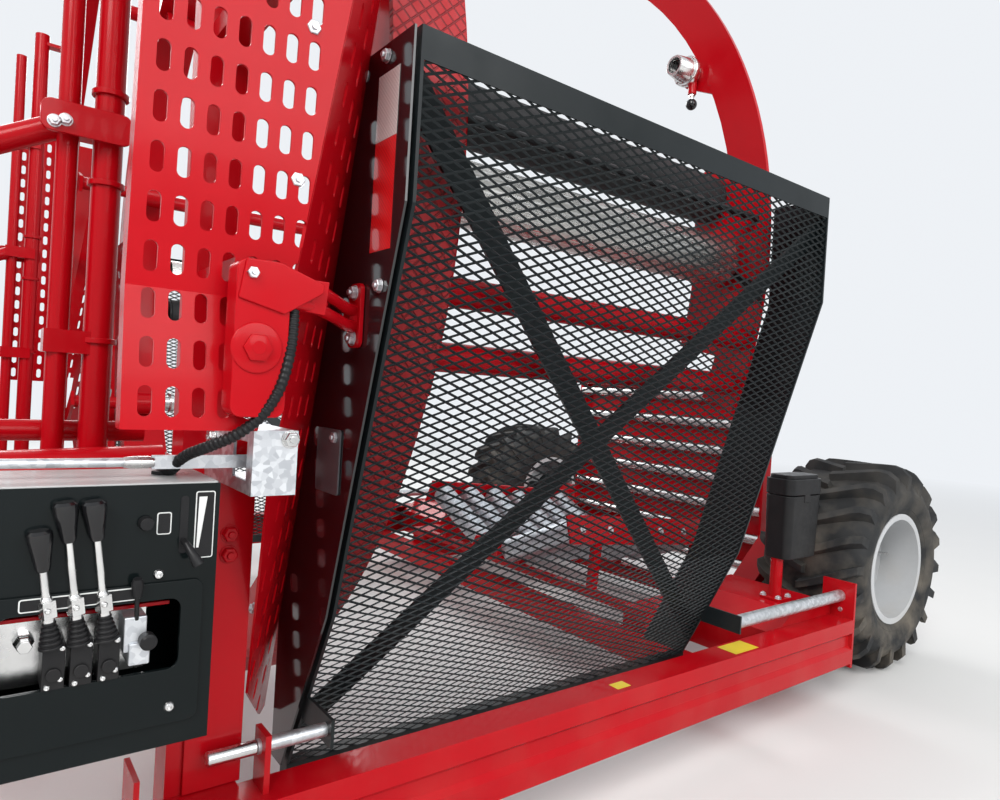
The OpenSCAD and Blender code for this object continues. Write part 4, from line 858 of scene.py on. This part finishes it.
ribs, caps, cones, bores, pins, balls, heads, lugs = (Build() for _ in range(8))
for turn in (0, 180):
    m = moved(0, 0, HOOP_Z) @ Matrix.Rotation(math.radians(turn), 4, "X")
    # Ribbed roller: an extrusion with ridges along it
    teeth = []
    for k in range(RIDGES):
        for da, r in ((-0.36, GROOVE_R), (-0.16, RIDGE_R), (0.16, RIDGE_R), (0.36, GROOVE_R)):
            a = (k + da) * 2 * math.pi / RIDGES
            teeth.append((r * math.cos(a), r * math.sin(a)))
    on_roller = m @ Matrix.Translation(RIBBED) @ TURN_X
    ribs.prism(teeth, PLATE_U0 + PLATE_T + 0.026, REAR_PLATE_U - 0.026, on_roller)
    ribs.disc(0.015, PLATE_U1 - 0.0008, on_roller, 32, PLATE_U0 + 0.0008)
    for centre, radius in ((RIBBED, 0.060), (RUBBER, 0.0635)):
        for u in (PLATE_U0 + PLATE_T + 0.014, REAR_PLATE_U - 0.024):
            caps.turned([(radius, 0), (radius, 0.008), (radius - 0.004, 0.010)],
                       m @ Matrix.Translation(centre + Vector((u, 0, 0))) @ TURN_X, 40)
    # Film cones, one on each plate, with a black disc deep in each bore as painted shade, and small screws
    for u, way in ((PLATE_U0 + PLATE_T, 1), (REAR_PLATE_U, -1)):
        c = m @ Matrix.Translation(FILM + Vector((u, 0, 0))) @ Matrix.Rotation(math.radians(90 * way), 4, "Y")
        cones.turned([(0.030, 0), (0.030, 0.020), (0.042, 0.0205), (0.043, 0.023), (0.043, 0.035),
                     (0.0415, 0.0375), (0.037, 0.038), (0.0355, 0.045), (0.029, 0.086), (0.0275, 0.088),
                     (0.0215, 0.088), (0.0205, 0.080), (0.0205, 0.062)], c, 48)
        # A black disc low in the cone's bore: painted shade for the depth of the hole
        bores.disc(0.0200, 0.0700, c, 32, 0.0622)
        for k in range(4):
            place = Matrix.Translation((*on_circle(0.0395, 45 + 90 * k), 0))
            cones.disc(0.0035, 0.0405, c @ place, 6, 0.036)
    # Lugs that carry the cones, and the pull knob below the rear one
    nose = [(FILM.y + x, FILM.z + y) for x, y in (on_circle(0.041, a) for a in range(110, -71, -15))]
    root = [polar(RIM_RADIUS - 0.095, a) for a in (23.0, 29.0, 37.5)]
    for u in (PLATE_U0, REAR_PLATE_U):
        lugs.prism([(p.y, p.z) for p in root] + nose, u + 0.0008, u + PLATE_T - 0.0008, m @ IN_PLATE)
    knob = FILM + Vector((REAR_PLATE_U - 0.014, -0.012, -0.022))
    down = m @ (Matrix.Translation(knob) @ Matrix.Rotation(math.pi, 4, "X"))
    lugs.turned([(0.0125, 0), (0.0125, 0.044), (0.0110, 0.046)], down, 24)
    pins.disc(0.0055, 0.062, down, 16, 0.040)
    pins.disc(0.0095, 0.052, down, 6, 0.046)
    ball = [(BALL_R * math.sin(math.pi * k / 10), BALL_H - BALL_R * math.cos(math.pi * k / 10)) for k in range(1, 10)]
    balls.lathe([(0, BALL_H - BALL_R), *ball, (0, BALL_H + BALL_R)], down, 24)
    # Heads on the outside of the rear plate, where the rollers' axles and the cones are held
    held = [(RUBBER, 0.022), (RIBBED, 0.022), (FILM, 0.020)] + [(polar(1.236, a), 0.014) for a in (-12, 14, 36, 52)]
    for centre, d in held:
        heads.bolt(m @ (centre + Vector((PLATE_U1, 0, 0))), m.to_3x3() @ Vector((1, 0, 0)), d)
ribs.make("roller_with_ridges", ALUMINIUM, 0.0004, "hoop", replaces="ribbed_rollers")
caps.make("roller_end_caps", PLASTIC, 0.0008, "hoop")
cones.make("film_cone_shells", STEEL, 0.0006, "hoop", replaces="film_cones")
bores.make("film_cone_bore_shade", BALL, body="hoop")
pins.make("knob_pins", STEEL, 0.0004, "hoop")
balls.make("knob_balls", BALL, body="hoop")
lugs.make("cone_lugs", RED, 0.0012, "hoop")
heads.make("dispenser_bolts", ZINC, 0.0006, "hoop")

# Joint bolts of the hoop's side plate, apart from where the dispensers stand
HOOP_BOLTS = 32
for k in range(HOOP_BOLTS):
    a = 360 / HOOP_BOLTS * (k + 0.5)
    if min(abs((a - c + 180) % 360 - 180) for c in (0, 20, 40, 180, 200, 220)) > 6:
        b.bolt(at(-0.0752, 0, HOOP_Z) + polar(1.222, a), (-1, 0, 0), 0.013)
b.make("hoop_bolts", ZINC, 0.0005, "hoop")


# Tables: bolts where the rollers' axles end in the side plates

TILT = math.radians(22)
FIRST_ROLLER, ROLLER_PITCH = 0.070, 0.150


def trough_bolts(name, m, length, count, inner_shift):
    """Bolts at the upper ends of both rows of rollers, which slope up from a table's middle."""
    b = Build()
    for side in (1, -1):
        way = Vector((0, -side * math.cos(TILT), math.sin(TILT)))
        for i in range(count):
            p = Vector((FIRST_ROLLER + i * ROLLER_PITCH, -side * (0.090 + inner_shift), 0)) + way * (length + 0.022)
            b.bolt(m @ p, m.to_3x3() @ way, 0.019)
    b.make(name, ZINC, 0.0006)


REAR_TABLE = moved(1.150, 0, 0.330) @ Matrix.Rotation(math.radians(5), 4, "Y")
trough_bolts("rear_table_bolts", REAR_TABLE, 0.400, 6, 0.0)
trough_bolts("feed_table_bolts", moved(-2.300, 0, 0.584), 0.300, 11, 0.100)


# Box for papers, on its post

BOX_U, BOX_Y, BOX_Z = 1.580, -1.105, 0.470
plan = rounded(0.002, 0.002, 0.213, 0.103, 0.030, 8)
seat = moved(BOX_U, BOX_Y, 0)
shrink = [(0.1075 + (x - 0.1075) * 0.93, 0.0525 + (y - 0.0525) * 0.93) for x, y in plan]
b.prism(shrink, BOX_Z, 0.685, seat, plan)
b.prism(rounded(0.0, 0.0, 0.215, 0.105, 0.032, 8), 0.688, 0.742, seat)
b.prism(rounded(0.010, 0.010, 0.205, 0.095, 0.026, 8), 0.740, 0.755, seat)
b.box((0.090, -0.0002, 0.662), (0.126, 0.006, 0.716), seat)
b.make("papers_box", PLASTIC, 0.005, angle=50, segments=3, replaces="document_box")

b.rod(at(BOX_U + 0.034, BOX_Y + 0.055, 0.3302), at(BOX_U + 0.034, BOX_Y + 0.055, BOX_Z), 0.020, 32)
b.prism(rounded(-0.005, 0.016, 0.075, 0.092, 0.010), 0.3302, 0.3382, seat)
b.make("papers_box_post", RED, 0.0012)

b.bolts([(BOX_U + x, BOX_Y + y, 0.3382) for x in (0.006, 0.066) for y in (0.026, 0.082)], (0, 0, 1), 0.011)
b.make("papers_box_bolts", ZINC, 0.0005)


# Trip plate: its bolts, and the crimp on its rod

b.bolt(at(-0.254, -1.400, 0.893), (0, -1, 0), 0.013)
b.bolt(at(-0.3052, -1.215, 0.880), (-1, 0, 0), 0.012)
b.turned([(0.0068, 0), (0.0082, 0.010), (0.0082, 0.028), (0.0068, 0.036)],
        frame_along(at(-0.452, -1.345, 0.857), at(-0.40, -1.345, 0.857)), 20)
b.make("trip_bolts", STEEL, 0.0005)


# Power unit

TANK_FRONT_U = -3.230
SHAFT_U, SHAFT_Z = -3.075, 0.620
FAN_Z = 0.690
FINS, FIN_PITCH = 9, 0.011

b.block((-3.210, -0.350, 0.5282), (-2.940, -0.020, 0.550))
b.block((-3.190, -0.300, 0.549), (-2.960, -0.060, 0.690))
for u in (-3.196, -3.050):
    for k in range(FINS):
        z = 0.700 + FIN_PITCH * k
        b.block((u, -0.290, z), (u + 0.096, -0.080, z + 0.006))
    b.block((u + 0.014, -0.270, 0.688), (u + 0.082, -0.100, 0.812))
b.rod(at(SHAFT_U, -0.062, SHAFT_Z), at(SHAFT_U, 0.010, SHAFT_Z), 0.062, 40)
b.rod(at(SHAFT_U, -0.30, SHAFT_Z), at(SHAFT_U, -0.37, SHAFT_Z), 0.03, 24)
b.make("engine_block", ENGINE, 0.0025, replaces="engine")

b.turned([(0.118, 0), (0.124, 0.004), (0.126, 0.030), (0.118, 0.066), (0.090, 0.078), (0.090, 0.070)],
         frame_along(at(SHAFT_U, -0.318, FAN_Z), at(SHAFT_U, -0.4, FAN_Z)), 56)
b.prism(rounded(-3.215, 0.815, -2.935, 0.932, 0.030, 6), 0.0, 0.150, face_at(at(0, -0.110, 0)))
b.make("engine_cowl", PLASTIC, 0.004, angle=40, segments=3)

for k in range(7):
    r = 0.018 + 0.0115 * k
    b.lathe([(r, 0), (r + 0.0035, 0), (r + 0.0035, 0.004), (r, 0.004), (r, 0)],
            frame_along(at(SHAFT_U, -0.390, FAN_Z), at(SHAFT_U, -0.42, FAN_Z)), 48)
for k in range(12):
    ends = [on_circle(r, 30 * k) for r in (0.012, 0.089)]
    b.rod(*(at(SHAFT_U + x, -0.3925, FAN_Z + z) for x, z in ends), 0.0016, 6)
b.make("cooling_fan_grille", STEEL)

b.rod(at(-3.190, -0.030, 0.770), at(-2.975, -0.030, 0.770), 0.042, 40)
b.tube([at(-2.990, -0.030, 0.770), at(-2.958, -0.030, 0.775), at(-2.944, -0.030, 0.800), at(-2.942, -0.030, 0.850)],
       0.013, 20)
b.tube([at(-3.08, -0.10, 0.74), at(-3.08, -0.07, 0.742), at(-3.085, -0.04, 0.755)], 0.011, 16)
b.make("silencer", STEEL, 0.003)

b.rod(at(-3.130, -0.180, 0.9322), at(-3.130, -0.180, 0.9395), 0.022, 24)
b.bolts([(-3.02, -0.14, 0.9322), (-3.02, -0.22, 0.9322)], (0, 0, 1), 0.0085)
b.bolts([(u, y, 0.5502) for u in (-3.195, -2.955) for y in (-0.325, -0.045)], (0, 0, 1), 0.012)
b.make("engine_bolts", ZINC, 0.0005)

# Oil tank: filler, sight glass and return filter
b.turned([(0.040, 0), (0.040, 0.016), (0.036, 0.022), (0.030, 0.024)],
        moved(-3.130, 0.240, 1.0402), 24)
b.turned([(0.032, 0), (0.032, 0.034), (0.026, 0.040)],
        moved(-2.985, 0.170, 1.0002), 32)
b.make("tank_caps", PLASTIC, 0.0015)

b.box((-0.003, 0.330, 0.640), (0.0, 0.352, 0.800), moved(TANK_FRONT_U, 0, 0))
b.bolts([(TANK_FRONT_U - 0.003, 0.341, z) for z in (0.652, 0.788)], (-1, 0, 0), 0.008, washer=False)
b.make("tank_sight_glass", STEEL, 0.0006)


# Bolts of the drawbar and the turntable, and the jack's grip

for side in (1, -1):
    b.bolt(at(-3.460, -side * 0.1502, 0.300), (0, -side, 0), 0.026)
b.make("drawbar_pin_heads", ZINC, 0.0008, "drawbar")

b.rod(at(-4.090, -0.252, 0.700), at(-4.090, -0.214, 0.700), 0.011, 20)
b.make("jack_grip", PLASTIC, 0.002, "drawbar")

for k in range(6):
    x, y = on_circle(0.170, 30 + 60 * k)
    b.bolt(at(FRONT_AXLE_U + x, y, 0.3758), (0, 0, -1), 0.014)
b.make("turntable_bolts", ZINC, 0.0006, "front_axle")


# Bolts and cover of the post beside the cabinet

b.bolts([(-0.262, -1.1782, 0.718), (-0.262, -1.1782, 0.684)], (0, -1, 0), 0.015)
b.make("post_bolts", RED, 0.0008)

b.prism([(-0.315, -1.1702), (-0.315, -1.178), (-0.2235, -1.178), (-0.2235, -1.125), (-0.2285, -1.125),
         (-0.2285, -1.1702)], 0.299, 0.812, moved(0, 0, 0))
b.make("post_cover", RED, 0.0015)


# Parts of solids that have another material


def second_look(node, material, test):
    """Gives some faces of a solid another material."""
    o = NODES[node]
    o.data.materials.append(material)
    for p in o.data.polygons:
        c = o.matrix_world @ p.center
        if test(c.x - HOOP_X, abs(c.y), c.z):
            p.material_index = len(o.data.materials) - 1


def on_hinge_tube(u, y, z):
    """Whether a point lies on the bare ends of a guard's hinge tube."""
    return abs(y - HINGE_Y) < 0.024 and abs(z - HINGE_Z) < 0.024 and (u > 1.156 or u < -0.100)


def on_thin_rod(u, y, z):
    """Whether a point lies on the dark rod of either dispenser, half a turn apart."""
    rod = polar(RIM_RADIUS - 0.040, 4)
    return PLATE_U0 + PLATE_T < u < REAR_PLATE_U and any(
        math.hypot(y - abs(rod.y), z - (HOOP_Z + way * rod.z)) < 0.0125 for way in (1, -1))


for side, label in SIDES:
    second_look(f"mesh_guard_frame_{label}", TUBE_ZINC, on_hinge_tube)
second_look("dispenser_frames", PLASTIC, on_thin_rod)

# The free end of the near guard's hinge pin
b.rod(at(-0.286, -HINGE_Y, HINGE_Z), at(-0.2062, -HINGE_Y, HINGE_Z), HINGE_PIN_R, 40)
b.make("hinge_pin_end", STEEL, 0.0025, "guard_near")


# Floor, backdrop and light

BACKDROP, BACKDROP_STRENGTH, WORLD_STRENGTH = (0.93, 0.96, 1.0), 0.92, 0.62
# Far off the floor fades into the backdrop for the camera
FADE_FROM, FADE_TO, FLOOR = 4.5, 13.0, 60


def plain(name, colour):
    """A pale matt surface that the camera sees fade into the backdrop, and that keeps the object's shadow."""
    m, nt, b = new_material(name)
    mottled = ramp(nt, noise(nt, 3, 2), 0.3, colour, 0.7, tuple(c * 1.01 for c in colour))
    link(nt, mottled, b.inputs["Base Color"])
    preset(b, Roughness=0.9)
    far = node(nt, "VectorMath")
    far.operation = "LENGTH"
    link(nt, own_coords(nt), far.inputs[0])
    seen = node(nt, "LightPath").outputs["Is Camera Ray"]
    glow = node(nt, "Emission", Color=(*BACKDROP, 1), Strength=BACKDROP_STRENGTH)
    mix = node(nt, "MixShader")
    fade = spread(nt, far.outputs["Value"], FADE_FROM, FADE_TO, 0.0, 1.0)
    link(nt, maths(nt, "MULTIPLY", fade, seen), mix.inputs[0])
    link(nt, b.outputs[0], mix.inputs[1])
    link(nt, glow.outputs[0], mix.inputs[2])
    link(nt, mix.outputs[0], nt.nodes["Material Output"].inputs["Surface"])
    return m


floor_mesh = bpy.data.meshes.new("floor")
corners = [(x, y, 0) for x, y in ((-FLOOR, -FLOOR), (FLOOR, -FLOOR), (FLOOR, FLOOR), (-FLOOR, FLOOR))]
floor_mesh.from_pydata(corners, [], [(0, 1, 2, 3)])
floor_mesh.materials.append(plain("pale_floor", (0.74, 0.74, 0.73)))
floor = placed("floor", floor_mesh)

# The camera, mirrors and glass see the backdrop at its full strength, and the object is lit at a lower one
world = bpy.data.worlds.new("studio")
bpy.context.scene.world = world
world.use_nodes = True
wn = world.node_tree
rays = node(wn, "LightPath").outputs
seen = maths(wn, "MAXIMUM", rays["Is Camera Ray"], rays["Is Transmission Ray"])
seen = maths(wn, "MAXIMUM", seen, rays["Is Glossy Ray"])
background = wn.nodes["Background"]
link(wn, spread(wn, seen, 0.0, 1.0, WORLD_STRENGTH, BACKDROP_STRENGTH), background.inputs["Strength"])
preset(background, Color=(*BACKDROP, 1))


def area(name, where, aim, size, watts, colour=(1, 1, 1)):
    """A soft rectangular lamp that looks at a place."""
    data = bpy.data.lights.new(name, "AREA")
    data.shape, data.size, data.size_y = "RECTANGLE", size[0], size[1]
    data.energy, data.color = watts, colour
    o = placed(name, data)
    o.location = where
    o.rotation_mode = "QUATERNION"
    o.rotation_quaternion = (Vector(aim) - Vector(where)).to_track_quat("-Z", "Y")


area("key", (-4.5, -5.5, 6.5), (0, 0, 0.8), (4, 4), 620, (1, 0.98, 0.95))
area("fill", (2.5, -9.0, 5.0), (0.3, 0, 0.8), (7, 5), 420)
area("back", (2.0, 7.0, 5.5), (0, 0, 1.0), (6, 3), 380)

bpy.context.scene.view_settings.view_transform = "Standard"
